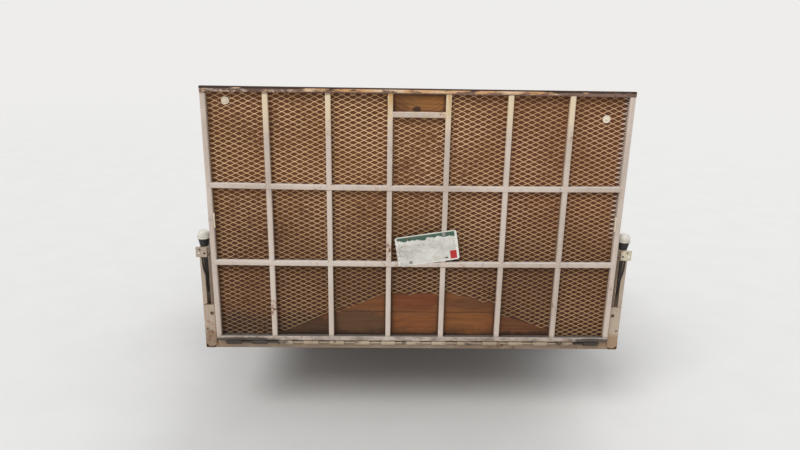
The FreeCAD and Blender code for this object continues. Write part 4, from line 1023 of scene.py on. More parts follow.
def hinge():
    solids = [Solid(), Solid()]
    for k in range(-7, 8):
        solid = solids[k % 2]
        start = k * HINGE_PITCH - KNUCKLE_LONG / 2
        middle, end = start + KNUCKLE_LONG / 2, start + KNUCKLE_LONG
        weld = (start + 0.003, end - 0.003)
        solid.lathe([(0, KNUCKLE_BORE), (0, KNUCKLE - 0.001), (0.001, KNUCKLE),
                     (KNUCKLE_LONG - 0.001, KNUCKLE), (KNUCKLE_LONG, KNUCKLE - 0.001),
                     (KNUCKLE_LONG, KNUCKLE_BORE)], (start, HINGE_Y, HINGE_Z), RIGHT, 28, True)
        if k % 2:
            web = REAR - HINGE_Y - 0.009
            plate(solid, [rounded(KNUCKLE_LONG, web, 0.001, 2)], 0.0064,
                  (middle, REAR - web / 2, HINGE_Z + 0.003), RIGHT, AHEAD)
            for z, way in ((0.0068, 1), (-0.0005, -1)):
                seam(solid, weld, REAR - 0.0016, HINGE_Z + z, (0, -1, way), 0.006, 0.0022)
        else:
            plate(solid, [rounded(KNUCKLE_LONG, 0.0047, 0.001, 2)], 0.0064,
                  (middle, HINGE_Y, HINGE_Z + 0.01135), RIGHT, FLAT)
            for way in WAYS:
                seam(solid, weld, HINGE_Y + way * 0.0045, GATE_BOTTOM - 0.0014, (0, way, -1),
                     0.0045, 0.0014)
    solids[0].build("gate_hinge_barrels", "gate", "hinge_steel", "gate_knuckles")
    solids[1].build("rail_hinge_barrels", "trailer", "hinge_steel", "rail_knuckles")
    pin = Solid()
    half = HINGE_HALF + 0.0062
    pin.lathe([(-half, 0.005), (-half + 0.0012, 0.0062), (half - 0.0012, 0.0062),
               (half, 0.005)], (0, HINGE_Y, HINGE_Z), RIGHT, 20)
    pin.build("hinge_rod", "trailer", "hinge_steel", "hinge_pin")


# Bed and open sides
POST = 0.0381


def frame_tubes():
    for name, along in (("side_rail_left", "y"), ("side_rail_right", "y"), ("rear_rail", "x"),
                        ("front_rail", "x"), ("top_rail_left", "y"), ("top_rail_right", "y"),
                        ("top_rail_front", "x")):
        solid = Solid()
        tube(solid, *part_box(name), along, 0.005, 0.0031, 0.25, 0.0003)
        solid.build(name + "_tube", "trailer", "frame_paint", name)
    joints = Solid()
    for side, sign in SIDES:
        x = sign * (BED_HALF - RAIL)
        for y, far in ((REAR, REAR + RAIL), (FRONT - RAIL, FRONT)):
            weld = (y + 0.004, far - 0.004)
            seam(joints, x, weld, DECK - 0.0005, FLAT, 0.008, 0.0016)
            seam(joints, x, weld, RAIL_LOW + 0.0005, -FLAT, 0.008, 0.0022)
        seam(joints, sign * POST_IN, (FRONT - 0.04, FRONT - 0.004), SIDE_TOP - 0.0005, FLAT,
             0.008, 0.0016)
    joints.build("rail_welds", "trailer", "frame_paint", angle=60)


def posts(name, places):
    solid = Solid()
    half = POST / 2
    for x, y in places:
        tube(solid, (x - half, y - half, DECK), (x + half, y + half, TOP_LOW), "z",
             0.0045, 0.003, 0.2, 0.0003)
        collar(solid, x, y, DECK, half, 1)
        collar(solid, x, y, TOP_LOW, half, -1)
    solid.build(name + "_tubes", "trailer", "frame_paint", name)


def corner_post(side, sign):
    """A lipped channel open to the rear, with its foot plate and end plate, both pierced with
    holes.
    """
    across = RIGHT * sign
    section = bent_loop(
        mm(0, 0, 3, 0, 3, 47, 41.4, 47, 41.4, 3, 22.4, 3, 22.4, 0, 44.45, 0, 44.45, 50, 0, 50),
        [0, 0, 0.0015, 0.0015, 0.0015, 0, 0, 0.0042, 0.0042, 0.0042])
    solid = Solid()
    solid.prism(section, (sign * POST_IN, REAR, DECK), FLAT * (TOP_LOW - DECK), across, AHEAD, 6)
    for height, way in ((DECK, 1), (TOP_LOW, -1)):
        for x, out in ((POST_IN, -sign), (BED_HALF - 0.0005, sign)):
            seam(solid, sign * x, (REAR + 0.005, REAR + 0.046), height, (out, 0, way),
                 0.007, 0.0026)
    start, wide = POST_IN - 0.0135, 0.0545
    middle = start + wide / 2
    low, high = DECK - 0.042, DECK + 0.19
    outline = [(start + wide, high), (start, high)]
    outline += [(middle + cos(turn) * wide / 2, low + wide / 2 + sin(turn) * wide / 2)
                for turn in (pi * (1 + k / 16) for k in range(17))]
    holes = [circle(middle - 0.0135, DECK + 0.143, 0.009),
             circle(middle + 0.015, DECK + 0.057, 0.006, 20)]
    plate(solid, [outline] + holes, 0.005, (0, REAR - 0.0025, 0), across, FLAT, 0.0008)
    seam(solid, (sign * (start + 0.004), sign * (start + wide - 0.004)), REAR - 0.001, high,
         (0, -0.5, 1), 0.006, 0.0022)
    middle = POST_IN + 0.005 + wide / 2
    centre = SIDE_TOP - 0.02625
    holes = [circle(middle + u, centre + v, 0.005, 16)
             for u, v in mm(-15, -6, 15, -6, 7.5, 13)]
    plate(solid, [rounded(wide, 0.0525, 0.004, 3, middle, centre)] + holes, 0.005,
          (0, REAR - 0.0025, 0), across, FLAT, 0.0008)
    solid.build(f"corner_post_{side}_steel", "trailer", "frame_paint", f"corner_post_{side}")


# Each wire as places across from the post's inner wall, forward of its rear face, and down
WIRES = (
    ((5.6, -4, 0), (5.6, -6, 40), (4.6, -1, 80), (4.6, 18, 115), (4.6, 20, 160)),
    ((26.4, -4, 0), (26, -7, 45), (14.4, -6, 90), (14.2, 0, 118), (14.2, 16, 150),
     (14.2, 18, 190)))


def lamp_wires(side, sign):
    """Two strands that run from the lamp down into the channel of the corner post."""
    under = SIDE_TOP - 0.0527
    data = bpy.data.curves.new(f"lamp_leads_{side}", "CURVE")
    for name, value in (("dimensions", "3D"), ("bevel_depth", 0.004), ("bevel_resolution", 4),
                        ("resolution_u", 12), ("use_fill_caps", True)):
        setattr(data, name, value)
    for route in WIRES:
        spline = data.splines.new("NURBS")
        spline.points.add(len(route) - 1)
        for point, (across, forward, down) in zip(spline.points, route):
            x = sign * (POST_IN + 0.003 + across / 1000)
            point.co = (x, REAR + forward / 1000, under - down / 1000, 1)
        spline.order_u = 3
        spline.use_endpoint_u = True
    piece = placed(f"lamp_leads_{side}", data)
    data.materials.append(MATERIALS["wire_plastic"])
    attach(piece, "trailer")
    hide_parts(f"lamp_wires_{side}")


def marker_lamp(side, sign):
    """A fluted dome in a ring, on a tapered rubber boot with ribs."""
    place = Vector((sign * POST_MID, REAR + 0.024, SIDE_TOP))
    boot, lens = Solid(), Solid()
    outline = mm(0, 18.5, 1.5, 20)
    for k in range(5):
        foot = 0.004 + 0.0065 * k
        wide = 0.0202 + 0.0085 * foot / 0.04
        outline += [(foot, wide), (foot + 0.0018, wide + 0.0012), (foot + 0.0036, wide + 0.0003)]
    boot.lathe(outline + mm(36.5, 28.8, 39, 29, 40, 28.2), place, FLAT, 40)
    boot.build(f"lamp_boot_{side}_ribbed", "trailer", "boot_rubber", f"lamp_boot_{side}")
    base = place + FLAT * 0.04
    lens.lathe(mm(0, 30, 0.6, 32.2, 2.2, 33, 6, 33, 7.6, 32.2, 8, 30.6, 6.6, 29.8), base, FLAT, 48)
    flutes = 36
    rings = []
    for k in range(10):
        turn = radians(9 * k)
        height = 0.007 + 0.008 * min(1, k) + 0.03 * sin(turn)
        ring = []
        for j in range(2 * flutes):
            radius = (0.0292 + (0.0005 if j % 2 else -0.0005)) * cos(turn)
            ring.append(base + Vector((cos(pi * j / flutes) * radius,
                                       sin(pi * j / flutes) * radius, height)))
        rings.append(ring)
    rings.append([base + FLAT * 0.0452 + (point - base) * 0.02 for point in rings[0]])
    lens.rings(rings)
    lens.build(f"marker_lens_{side}", "trailer", "lamp_plastic", f"marker_lamp_{side}")


# Deck: boards, the angle bars under them and their screws
PLANKS = 11
CROSS_MEMBERS = 7
PLANK_GAP = 0.006
PLANK_LOW = DECK - 0.038
BOARD = (2 * (BED_HALF - RAIL) - (PLANKS + 1) * PLANK_GAP) / PLANKS
CROSS_Y = [REAR + k * BED_LONG / (CROSS_MEMBERS + 1) for k in range(1, CROSS_MEMBERS + 1)]


def deck():
    boards, screws, bars = Solid(), Solid(), Solid()
    low_y, high_y = REAR + RAIL + 0.0006, FRONT - RAIL - 0.0006
    steps = 24
    for k in range(PLANKS):
        middle = RAIL - BED_HALF + PLANK_GAP + k * (BOARD + PLANK_GAP) + BOARD / 2
        cup = random.uniform(-0.0016, 0.0016)
        phase = random.uniform(0, 6)
        rings = []
        for step in range(steps + 1):
            y = low_y + (high_y - low_y) * step / steps
            bow = middle + 0.0004 * sin(phase + 0.9 * step)
            wide = BOARD / 2 - random.uniform(0.0005, 0.0014)
            top = [(bow + u * wide, y, DECK - (0.0036 if abs(u) == 1 else 0.0018)
                    + cup * (1 - u * u)) for u in (-1, -0.98, -0.6, -0.2, 0.2, 0.6, 0.98, 1)]
            rings.append(top + [(bow + u * wide, y, PLANK_LOW + (0.0018 if abs(u) == 1 else 0))
                                for u in (1, 0.98, 0.0, -0.98, -1)])
        boards.rings(rings)
        for y in CROSS_Y:
            for way in WAYS:
                place = (middle + way * (BOARD / 2 - 0.03) + random.uniform(-0.003, 0.003),
                         y + 0.018 + random.uniform(-0.004, 0.004), DECK - 0.0034)
                screws.lathe(mm(0, 7, 2.2, 7.2, 3.4, 6, 3.6, 3, 2, 2.2, 2, 0), place, FLAT, 12)
    boards.build("deck_boards", "trailer", "planks", "deck_planks", angle=50)
    screws.build("deck_screws", "trailer", "planks", look="hub_steel")
    section = bent_loop(mm(0, 0, 0, -5, 45.8, -5, 45.8, -50.8, 50.8, -50.8, 50.8, 0),
                        [0.0008, 0.003, 0.006, 0.003, 0.0008, 0.0015])
    reach = BED_HALF - RAIL
    for y in CROSS_Y:
        bars.prism(section, (-reach, y, PLANK_LOW), RIGHT * 2 * reach, AHEAD, FLAT, 8)
        for way in WAYS:
            seam(bars, way * (reach - 0.003), (y + 0.004, y + 0.044), PLANK_LOW - 0.0055,
                 (-way, 0, -1), 0.007, 0.003)
    bars.build("cross_bars", "trailer", "frame_paint", "cross_members")


# Tongue, coupler and jack
SLANT_TURN = radians(25)
SLANT = tan(SLANT_TURN)
CHANNEL_BACK = CROSS_Y[-1] + 0.0508
CHANNEL_FRONT = TIP - 0.16
CHANNEL_TIP = 0.045
CHANNEL_HIGH = 0.0762
BALL_Y = TIP - 0.045
NOSE_LOW = RAIL_LOW - 0.054
PLATE_TOP = RAIL_LOW + 0.006
JACK_Y = TIP - 0.27


def tongue_channel(side, sign):
    wide, web, leg = 0.0381 / cos(SLANT_TURN), 0.005 / cos(SLANT_TURN), 0.005
    section = bent_loop(
        [(0, 0), (wide, 0), (wide, leg), (web, leg), (web, CHANNEL_HIGH - leg),
         (wide, CHANNEL_HIGH - leg), (wide, CHANNEL_HIGH), (0, CHANNEL_HIGH)],
        [0.0015, 0.0008, 0.003, 0.004, 0.004, 0.003, 0.0008, 0.0015])
    run = CHANNEL_FRONT - CHANNEL_BACK
    solid = Solid()
    solid.prism(section, (sign * (CHANNEL_TIP + run * SLANT), CHANNEL_BACK,
                          RAIL_LOW - CHANNEL_HIGH),
                Vector((-sign * run * SLANT, run, 0)), RIGHT * -sign, FLAT, 8)
    for y, way in ((FRONT - RAIL, -1), (FRONT, 1)):
        x = sign * (CHANNEL_TIP + (CHANNEL_FRONT - y) * SLANT)
        seam(solid, (x - sign * 0.003, x - sign * 0.038), y, RAIL_LOW, (0, way, -0.6),
             0.008, 0.0035)
    solid.build(f"tongue_{side}_channel", "trailer", "frame_paint", f"tongue_channel_{side}")


def coupler():
    """A pressed shell over the ball, its plate, latch lever and bolts."""
    solid = Solid()
    back = CHANNEL_FRONT - 0.2
    wide = CHANNEL_TIP + 0.2 * SLANT
    plate(solid, [[(-wide, back), (wide, back), (CHANNEL_TIP, CHANNEL_FRONT),
                   (-CHANNEL_TIP, CHANNEL_FRONT)], circle(0, JACK_Y, 0.0289, 40)],
          0.006, (0, 0, RAIL_LOW + 0.003), RIGHT, AHEAD, 0.0012)
    rings = []
    for k in range(31):
        y = CHANNEL_FRONT + (TIP - 0.0004 - CHANNEL_FRONT) * (1 - (1 - k / 30) ** 1.6)
        past = max(0.0, y - BALL_Y)
        half = sqrt(max(0.045 ** 2 - past ** 2, 0.003 ** 2))
        share = min(1.0, max(0.0, (y - BALL_Y + 0.055) / 0.035))
        crown = PLATE_TOP + 0.012 * share * share * (3 - 2 * share) - 0.03 * (past / 0.045) ** 3
        ring = []
        for shrink in (0.0, 0.005):
            side = max(half - shrink, 0.0006)
            top = crown - shrink
            corner = min(0.016, 0.8 * side)
            arch = [(-side, NOSE_LOW)]
            arch += [(-side + corner - corner * cos(radians(a)),
                      top - corner + corner * sin(radians(a))) for a in range(0, 91, 15)]
            arch += [(-u, v) for u, v in reversed(arch)]
            ring += arch[::-1] if shrink else arch
        rings.append([(u, y, v) for u, v in ring])
    solid.rings(rings)
    lip = [(-0.0475, CHANNEL_FRONT + 0.004), (-0.0475, BALL_Y)]
    lip += [(cos(t) * 0.0475, BALL_Y + sin(t) * 0.0425)
            for t in (pi * (1 - j / 20) for j in range(1, 20))]
    lip += [(0.0475, BALL_Y), (0.0475, CHANNEL_FRONT + 0.004)]
    solid.rod([(x, y, NOSE_LOW + 0.003) for x, y in lip], 0.003, 8)
    top = PLATE_TOP + 0.012
    path = bent_path([(0, BALL_Y + y, top + z) for y, z in mm(2, 2, -30, 3, -60, 7.5, -94, 10)],
                     0.03, 5)
    grows = [1.0] * (len(path) - 2) + [0.8] * 2
    solid.rings([[place + RIGHT * u * grow + FLAT * v
                  for u, v in rounded(0.016, 0.0035, 0.0015)]
                 for place, grow in zip(path, grows)])
    for sign in WAYS:
        out = RIGHT * sign
        plate(solid, [rounded(0.052, 0.014, 0.004)], 0.003,
              (sign * 0.0095, BALL_Y - 0.03, top + 0.005), AHEAD, FLAT)
        bolt(solid, (sign * 0.011, BALL_Y - 0.03, top + 0.006), out, 0.005, 0.004, 1.3)
        for y in (0.022, 0.068):
            bolt(solid, (sign * 0.045, CHANNEL_FRONT + y, RAIL_LOW - 0.022), out, 0.0105, 0.007)
        for y in (0.02, 0.175):
            bolt(solid, (sign * (0.03 + y * SLANT), CHANNEL_FRONT - y, PLATE_TOP), FLAT,
                 0.0095, 0.0065)
    hexagon(solid, (0, BALL_Y + 0.006, top - 0.003), FLAT, 0.012, 0.009)
    solid.build("coupler_shell", "trailer", "coupler_steel", "coupler")


def jack():
    low, high = RAIL_LOW - 0.119, RAIL_LOW + 0.321
    base = Vector((0, JACK_Y, 0))
    housing, crank, grip, leg = [Solid() for k in range(4)]
    foot = mm(0, 25.45, 0, 27.6, 1, 28.6, 18, 28.6, 19, 30.6, 27, 30.6, 28, 28.6)
    flange = mm(-1, 28.6, 0, 57, 1, 58, 7, 58, 8, 57, 8, 34.6, 14, 28.6)
    head = mm(-30, 28.6, -28, 30.6, -10, 30.6, -8, 33.6, 14, 34, 20, 28.6, 22, 20, 22, 9, -2, 9,
              -2, 25.45)
    housing.lathe([(level + u, radius) for level, steps in (
        (low, foot), (PLATE_TOP, flange), (high, head)) for u, radius in steps],
        base, FLAT, 48, True)
    for x, y in circle(0, 0, 0.044, 12)[1::4]:
        bolt(housing, base + Vector((x, y, PLATE_TOP + 0.008)), FLAT, 0.0075, 0.006, 1.5)
    housing.build("jack_housing", "trailer", "jack_steel", "jack_tube")
    start = base + FLAT * (high + 0.022)
    turn, reach = start + FLAT * 0.03, RIGHT * 0.16
    path = [start - FLAT * 0.006, turn, turn + reach, turn + reach + FLAT * 0.02]
    crank.rod(bent_path(path, 0.014, 8), 0.0078, 16)
    crank.lathe(mm(0, 8.2, 0, 11, 10, 11, 12, 9.8, 12, 8.2), start, FLAT, 28, True)
    crank.build("crank_rod", "trailer", "jack_steel", "jack_crank")
    outline = mm(0, 7, 1, 10, 4, 11.8)
    for k in range(9):
        outline += mm(9 + 7 * k, 11.2, 12.5 + 7 * k, 9.8)
    grip.lathe(outline + mm(73, 11.2, 77, 10.4, 78.5, 6), turn + reach + FLAT * 0.012, FLAT, 24)
    grip.build("crank_grip", "trailer", "jack_steel", "jack_crank", look="grip_rubber")
    top = low + 0.17
    leg.lathe([(0.006, 0.0214), (0.006, 0.0254), (top - 0.001, 0.0254), (top, 0.0244),
               (top, 0.0214)], base, FLAT, 40, True)
    leg.lathe(mm(0, 0, 0, 66, 1, 69.5, 3, 70, 5, 69.6, 6, 68, 5, 60, 5, 33, 6, 30, 6, 0),
              base, FLAT, 48)
    round_bead(leg, base + FLAT * 0.0068, FLAT, 0.0256, 0.006, 0.003)
    leg.build("jack_leg_foot", "jack_foot", "jack_steel", "jack_leg")


# Axle, springs and wheels
SPRING_X = BED_HALF - RAIL / 2
SPRING_HALF = 0.33
SPRING_RISE = 0.075
SPRING_TOP = AXLE_Z - 0.036
SPRING_BOW = (SPRING_HALF ** 2 + SPRING_RISE ** 2) / (2 * SPRING_RISE)
LEAF = 0.007
LEAVES = 4
EYE_Z = SPRING_TOP + SPRING_RISE + 0.015 - LEAF
TIE_LOW = SPRING_TOP - LEAVES * LEAF - 0.008


def axle():
    solid = Solid()
    end, tip = BED_HALF + 0.006, WHEEL_X + 0.03
    half = [(tip, 0.016), (tip - 0.0015, 0.0175), (end, 0.0175), (end, 0.0285),
            (end - 0.0015, 0.03)]
    solid.lathe([(-u, r) for u, r in half] + half[::-1], (0, AXLE_Y, AXLE_Z), RIGHT, 48)
    section = bent_loop(mm(-40, -35.5, 40, -35.5, 30, -12, -30, -12), [0.002, 0.002, 0.006, 0.006])
    for side, sign in SIDES:
        x = sign * SPRING_X
        solid.prism(section, (x - 0.02, AXLE_Y, AXLE_Z), RIGHT * 0.04, AHEAD, FLAT)
        for y in (-0.0305, 0.0305):
            seam(solid, (x - 0.018, x + 0.018), AXLE_Y + y, AXLE_Z - 0.0125, (0, y, 0.02),
                 0.007, 0.003)
    solid.build("axle_beam", "trailer", "axle_steel", "axle")


def arc_bar(solid, x, radius, reach, thick):
    """One curved leaf, thinned a little towards its ends."""
    rings = []
    for k in range(33):
        share = k / 16 - 1
        turn = asin(reach / radius) * share
        out = Vector((0, sin(turn), -cos(turn)))
        place = Vector((x, AXLE_Y, SPRING_TOP + SPRING_BOW)) + out * (radius + thick / 2)
        wide = 0.04 if abs(share) < 0.95 else 0.034
        rings.append([place + RIGHT * u + out * v for u, v in rounded(wide, thick, 0.0012, 2)])
    solid.rings(rings)


def spring(side, sign):
    x = sign * SPRING_X
    leaves, hangers, clamp = Solid(), Solid(), Solid()
    for k in range(LEAVES):
        arc_bar(leaves, x, SPRING_BOW + k * LEAF + 0.0002, SPRING_HALF - 0.08 * k, LEAF - 0.0004)
    for end in WAYS:
        leaves.lathe(mm(0, 7, 0, 14.6, 0.6, 15, 39.4, 15, 40, 14.6, 40, 7),
                     (x - 0.02, AXLE_Y + end * SPRING_HALF, EYE_Z), RIGHT, 28, True)
        bow = SPRING_BOW + 2 * LEAF
        turn = asin(end * 0.15 / bow)
        out = Vector((0, sin(turn), -cos(turn)))
        place = Vector((x, AXLE_Y, SPRING_TOP + SPRING_BOW)) + out * (bow + 0.001)
        plate(leaves, [rounded(0.0436, 0.0285, 0.002), rounded(0.0404, 0.0225, 0.001)], 0.022,
              place - out * 0.003, RIGHT, out)
    leaves.build(f"spring_leaves_{side}", "trailer", "spring_steel", f"leaf_spring_{side}")
    reach = RAIL_LOW - EYE_Z + 0.015
    outline = bent_loop([(-0.03, 0), (0.03, 0), (0.03, -0.03), (0.014, -reach),
                         (-0.014, -reach), (-0.03, -0.03)],
                        [0.001, 0.001, 0.008, 0.01, 0.01, 0.008])
    inward = RIGHT * -sign
    for end in WAYS:
        y = AXLE_Y + end * SPRING_HALF
        for off in (-0.0227, 0.0227):
            plate(hangers, [outline], 0.005, (x + off, y, RAIL_LOW), AHEAD, FLAT)
            seam(hangers, x + off, (y - 0.027, y + 0.027), RAIL_LOW, (-off, 0, -0.012),
                 0.006, 0.0025)
        hangers.lathe(mm(-25.2, 6.6, 25.2, 6.6), (x, y, EYE_Z), RIGHT, 20)
        hexagon(hangers, (x - sign * 0.0252, y, EYE_Z), inward, 0.0105, 0.007)
        thread(hangers, (x - sign * 0.0322, y, EYE_Z), inward, 0.006, 0.006)
    hangers.build(f"spring_plates_{side}", "trailer", "axle_steel", f"spring_hangers_{side}")
    holes = [circle(a * 0.028, b * 0.036, 0.0066, 16) for a in WAYS for b in WAYS]
    plate(clamp, [rounded(0.076, 0.092, 0.005)] + holes, 0.008, (x, AXLE_Y, TIE_LOW + 0.004),
          RIGHT, AHEAD, 0.001)
    for off in (-0.028, 0.028):
        bow = [(AXLE_Y - 0.036, TIE_LOW - 0.004)]
        bow += [(AXLE_Y - 0.036 * cos(t), AXLE_Z + 0.036 * sin(t))
                for t in (pi * j / 16 for j in range(17))]
        bow += [(AXLE_Y + 0.036, TIE_LOW - 0.004)]
        clamp.rod([(x + off, y, z) for y, z in bow], 0.006, 14)
        for y in (-0.036, 0.036):
            place = Vector((x + off, AXLE_Y + y, TIE_LOW))
            washer(clamp, place, -FLAT, 0.0105, 0.006, 0.0015)
            hexagon(clamp, place - FLAT * 0.0015, -FLAT, 0.0098, 0.0085)
            thread(clamp, place - FLAT * 0.01, -FLAT, 0.0058, 0.01)
    hexagon(clamp, (x, AXLE_Y, TIE_LOW), -FLAT, 0.008, 0.006)
    clamp.build(f"spring_bolts_{side}", "trailer", "axle_steel", f"spring_clamp_{side}")


BEAD_RADIUS = 0.1907
TREAD_HALF = 0.0715
PITCHES = 50
# The ribs of the tread as their edges, and which set of slots cuts each
RIBS = ((-0.0715, -0.0475, 2), (-0.0405, -0.0185, 1), (-0.0115, 0.0115, 0),
        (0.0185, 0.0405, 1), (0.0475, 0.0715, 2))
# Shares of one tread pitch, and which set of slots is cut there
SLOT_STEPS = ((0.0, 0), (0.4, 0), (0.42, 1), (0.47, 1), (0.49, 0), (0.9, 0), (0.92, 2), (0.98, 2))


def tyre_section(cut):
    """The tyre's section at one step round it, as (across, radius); cut names the slots there."""
    half = [(0.0758, BEAD_RADIUS)]
    for k in range(1, 15):
        share = k / 14
        wide = 0.074 + 0.01 * share + 0.0165 * sin(pi * share) ** 0.75
        half.append((wide + (0.0012 if k in (3, 9) else 0.0),
                     BEAD_RADIUS + share * (0.332 - BEAD_RADIUS)))
    half += [(0.08, 0.3385),
             (TREAD_HALF + 0.002, TYRE_RADIUS - 0.003 - (0.0035 if cut == 2 else 0.0))]
    tread = []
    for low, high, slots in RIBS:
        drop = 0.0045 if slots and cut == slots else 0.0
        tread += [(u, TYRE_RADIUS - 0.0022 * (u / TREAD_HALF) ** 2 - drop) for u in (low, high)]
        if high < TREAD_HALF:
            tread += [(high + u, TYRE_RADIUS - 0.0085) for u in (0.001, 0.006)]
    inner = [(0.064, BEAD_RADIUS), (0.065, 0.209), (0.0835, 0.24), (0.0835, 0.286),
             (0.066, 0.327)]
    return ([(-u, r) for u, r in half] + tread + half[::-1] + inner
            + [(-u, r) for u, r in reversed(inner)])


STUD_RADIUS = 0.05715
STUD_TURNS = [0.4 * pi * k for k in range(5)]


def wheel(side, sign):
    centre = Vector((sign * WHEEL_X, AXLE_Y, AXLE_Z))
    outward = RIGHT * sign
    body = f"wheel_{side}"
    tyre, rim, valve, hub = [Solid() for k in range(4)]
    sections = [tyre_section(cut) for cut in range(3)]
    rings = []
    for k in range(PITCHES):
        for share, cut in SLOT_STEPS:
            out = spoke(2 * pi * (k + share) / PITCHES)
            rings.append([centre + RIGHT * u + out * r for u, r in sections[cut]])
    tyre.rings(rings, True)
    tyre.build(f"tyre_{side}_tread", body, "tyre", f"tyre_{side}", angle=40)
    half = mm(25.3, 170.5, 38, 190.5, 73, 191, 76, 194.5, 76, 204.5, 77, 208, 79, 208.5, 80, 207,
              80, 188.5, 78, 186.5, 40, 186.5, 27.3, 166.5)
    rim.lathe(half + [(-u, r) for u, r in reversed(half)], centre, outward, 96, True)
    hand = [circle(u, v, 0.015) for u, v in circle(0, 0, 0.128, 8)]
    studs = [circle(u, v, 0.008, 16) for u, v in circle(0, 0, STUD_RADIUS, 5)]
    plate(rim, [circle(0, 0, 0.15, 72), circle(0, 0, 0.1015, 56)] + hand, 0.004,
          centre + outward * 0.02, AHEAD, FLAT, 0.0008)
    plate(rim, [circle(0, 0, 0.08, 56), circle(0, 0, 0.0323, 32)] + studs, 0.004,
          centre + outward * 0.002, AHEAD, FLAT, 0.0005)
    rim.lathe(mm(0.2, 78.5, 0.2, 80, 6, 86, 15, 97.5, 18, 104, 22, 104, 19.5, 95, 9.5, 83.5,
                 4, 78.5), centre, outward, 72, True)
    rim.lathe(mm(18, 148, 22, 148, 20, 156, 12, 166, 8, 166.9, 8, 165, 10, 164, 16.5, 155),
              centre, outward, 96, True)
    round_bead(rim, centre + outward * 0.0115, outward, 0.1655, 0.006, 0.002)
    for turn in (0.35, 2.6):
        for k in range(4):
            rim.rod([centre + outward * 0.0755 + spoke(turn + 0.05 * k + t) * 0.204
                     for t in (0, 0.02, 0.042)], 0.0038, 8)
    rim.build(f"rim_{side}_steel", body, "rim_paint", f"rim_{side}")
    out = spoke(2.0)
    valve.lathe(mm(-4, 8.5, 2, 8, 6, 5.5, 22, 4.5, 23, 4, 23, 4.8, 33, 4.6, 34, 3),
                centre + outward * 0.05 + out * 0.1845, (outward - out * 0.45).normalized(), 18)
    valve.build(f"valve_{side}", body, "tyre", look="boot_rubber")
    hub.lathe(mm(-55, 17.6, -55, 30.5, -53, 32, -10, 32, -8, 34, -8, 69, -7, 70, -1, 70, -0.2, 69,
                 -0.2, 32, 40.5, 32, 42, 30.5, 42, 28.5, 44, 28.5, 45, 26.5, 58, 25, 61, 22.5,
                 62, 18, 62, 0.8, 34, 0.8, 34, 17.6), centre, outward, 48, True)
    for turn in STUD_TURNS:
        place = centre + spoke(turn) * STUD_RADIUS
        hub.lathe(mm(4.2, 9, 6.5, 11.2, 7.5, 11.2), place, outward, 24)
        hexagon(hub, place + outward * 0.007, outward, 0.011, 0.012)
        thread(hub, place + outward * 0.004, outward, 0.0059, 0.0205)
    hub.build(f"hub_{side}_nuts", body, "hub_steel", f"hub_{side}")


def fender(side, sign):
    """A rounded half ring with a rolled hem, and its plate against the side rail."""
    radius, thick, wide, skirt, corner = TYRE_RADIUS + 0.055, 0.003, 0.229, 0.055, 0.018
    hem = radius - skirt + 0.004
    out = RIGHT * sign
    path = bent_path([(0.0, radius + thick / 2), (wide - thick / 2, radius + thick / 2),
                      (wide - thick / 2, hem)], corner, 8)
    near, far = [], []
    for before, place, after in zip(path[:1] + path, path, path[1:] + path[-1:]):
        run = (after - before).normalized()
        aside = Vector((-run.y, run.x)) * thick / 2
        near.append(place + aside)
        far.append(place - aside)
    solid, bolts = Solid(), Solid()
    centre = Vector((sign * BED_HALF, AXLE_Y, AXLE_Z))
    spokes = [spoke(pi * k / 72) for k in range(73)]
    solid.rings([[centre + out * place.x + way * place.y for place in near + far[::-1]]
                 for way in spokes])
    solid.rod([centre + out * (wide - 0.0045) + way * hem for way in spokes], 0.0042, 10)
    start = asin((RAIL_LOW - AXLE_Z) / (radius + thick))
    sweep = pi - 2 * start
    rim = [(cos(t) * (radius + thick - 0.0005), sin(t) * (radius + thick - 0.0005))
           for t in (start + sweep * k / 48 for k in range(49))]
    plate(solid, [rim], thick, centre + out * thick / 2, AHEAD, FLAT)
    for k in range(1, 6):
        t = start + sweep * k / 6
        inward = -spoke(t)
        middle = centre - inward * (radius - 0.0012) + out * 0.0035
        along = Vector((0, -sin(t), cos(t))) * 0.022
        bead(solid, middle - along, middle + along, out + inward, 0.008, 0.003)
    solid.build(f"fender_{side}_sheet", "trailer", "fender_paint", f"fender_{side}")
    for y in (-0.26, -0.09, 0.09, 0.26):
        bolt(bolts, (sign * (BED_HALF + thick), AXLE_Y + y, RAIL_LOW + 0.026), out, 0.0085, 0.006)
    bolts.build(f"fender_bolts_{side}", "trailer", "bolt_steel")


for make in (gate_frame, gate_mesh, gate_plywood, gate_fittings, gate_tag, hinge, frame_tubes):
    make()
posts("front_posts", [(k * BED_HALF / 3, FRONT - POST / 2) for k in WAYS])
for make in (deck, coupler, jack, axle):
    make()
for side, sign in SIDES:
    rows = [REAR + k * BED_LONG / 4 for k in (1, 2, 3)] + [FRONT - POST / 2]
    posts(f"side_posts_{side}", [(sign * POST_MID, y) for y in rows])
    for make in (corner_post, lamp_wires, marker_lamp, tongue_channel, spring, wheel, fender):
        make(side, sign)


# Floor, light and camera
FLOOR_SIZE = 60.0
BACK_COLOUR = (238, 237, 235)


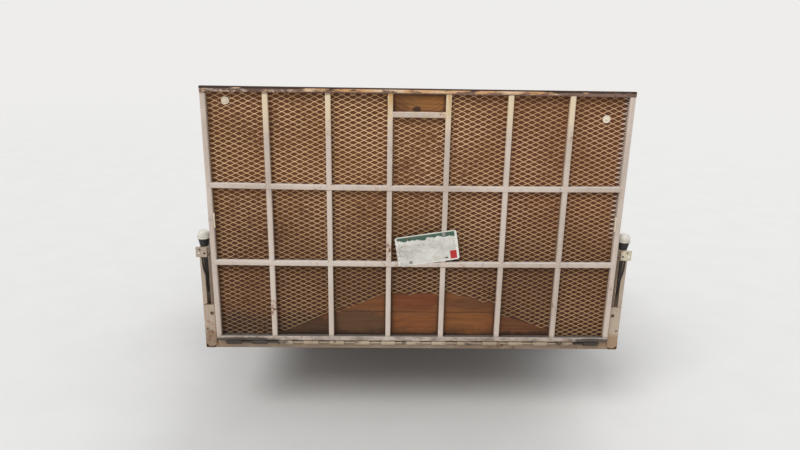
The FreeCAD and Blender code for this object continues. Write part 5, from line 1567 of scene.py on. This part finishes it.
def studio():
    mesh = bpy.data.meshes.new("floor")
    corners = ((-1, -1), (1, -1), (1, 1), (-1, 1))
    mesh.from_pydata([(x * FLOOR_SIZE, y * FLOOR_SIZE, 0) for x, y in corners], [], [(0, 1, 2, 3)])
    floor = placed("floor", mesh)
    floor.location.z = -0.0005
    s = Shader("floor_paint")
    s.colour = s.mix(s.noise(3, 4, 0.6).band(0.3, 0.7, 0.0, 0.25), (226, 224, 220),
                     (216, 214, 210))
    for name, value in (("Base Color", s.colour), ("Roughness", 0.9)):
        s.feed(s.shader.inputs[name], value)
    far = s.node("ShaderNodeVectorMath", {0: s.place}, "Value", operation="LENGTH")
    both = s.node("ShaderNodeMixShader", {
        0: far.band(6.0, 24.0), 1: Value(s, s.shader.outputs[0]),
        2: s.node("ShaderNodeEmission", {"Color": BACK_COLOUR})})
    s.feed(s.tree.nodes["Material Output"].inputs["Surface"], both)
    mesh.materials.append(s.material)

    world = bpy.data.worlds.new("studio")
    world.use_nodes = True
    bpy.context.scene.world = world
    world.node_tree.nodes.clear()
    w = Nodes(world.node_tree)
    camera_ray, glossy, through = [
        w.node("ShaderNodeLightPath", out=f"Is {kind} Ray")
        for kind in ("Camera", "Glossy", "Transmission")]
    both = w.node("ShaderNodeMixShader", {
        0: camera_ray.most(glossy.most(through)),
        1: w.node("ShaderNodeBackground", {"Color": (240, 244, 250), "Strength": 0.62}),
        2: w.node("ShaderNodeBackground", {"Color": BACK_COLOUR})})
    w.node("ShaderNodeOutputWorld", {"Surface": both})


def lamp(name, azimuth, elevation, strength, angle):
    """A soft sun that shines from a direction round the trailer."""
    data = bpy.data.lights.new(name, "SUN")
    data.energy = strength
    data.angle = radians(angle)
    turn, rise = radians(azimuth), radians(elevation)
    back = Vector((sin(turn) * cos(rise), -cos(turn) * cos(rise), sin(rise)))
    placed(name, data).rotation_euler = (-back).to_track_quat("-Z", "Y").to_euler()


# Camera, as the photograph's
CAMERA_PLACE = Vector((-0.1457, -5.3668, 1.9837))
CAMERA_YAW = radians(-1.3174)
CAMERA_PITCH = radians(16.3797)
CAMERA_ROLL = radians(0.9396)
CAMERA_LENS = 28.1923
SENSOR_WIDTH = 36.0


def camera():
    data = bpy.data.cameras.new("camera")
    data.lens = CAMERA_LENS
    data.sensor_width = SENSOR_WIDTH
    data.clip_start = 0.05
    data.clip_end = 300
    item = placed("camera", data)
    level_right = Vector((cos(CAMERA_YAW), sin(CAMERA_YAW), 0))
    level_ahead = Vector((-sin(CAMERA_YAW), cos(CAMERA_YAW), 0))
    ahead = cos(CAMERA_PITCH) * level_ahead - sin(CAMERA_PITCH) * FLAT
    upright = sin(CAMERA_PITCH) * level_ahead + cos(CAMERA_PITCH) * FLAT
    right = cos(CAMERA_ROLL) * level_right + sin(CAMERA_ROLL) * upright
    up = cos(CAMERA_ROLL) * upright - sin(CAMERA_ROLL) * level_right
    columns = (right, up, -ahead, CAMERA_PLACE)
    item.matrix_world = Matrix([[*row] for row in zip(*columns)] + [[0, 0, 0, 1]])
    bpy.context.scene.camera = item


studio()
lamp("key", -35, 48, 1.5, 30)
lamp("fill", 150, 40, 0.9, 50)
camera()
bpy.context.scene.view_settings.view_transform = "Standard"
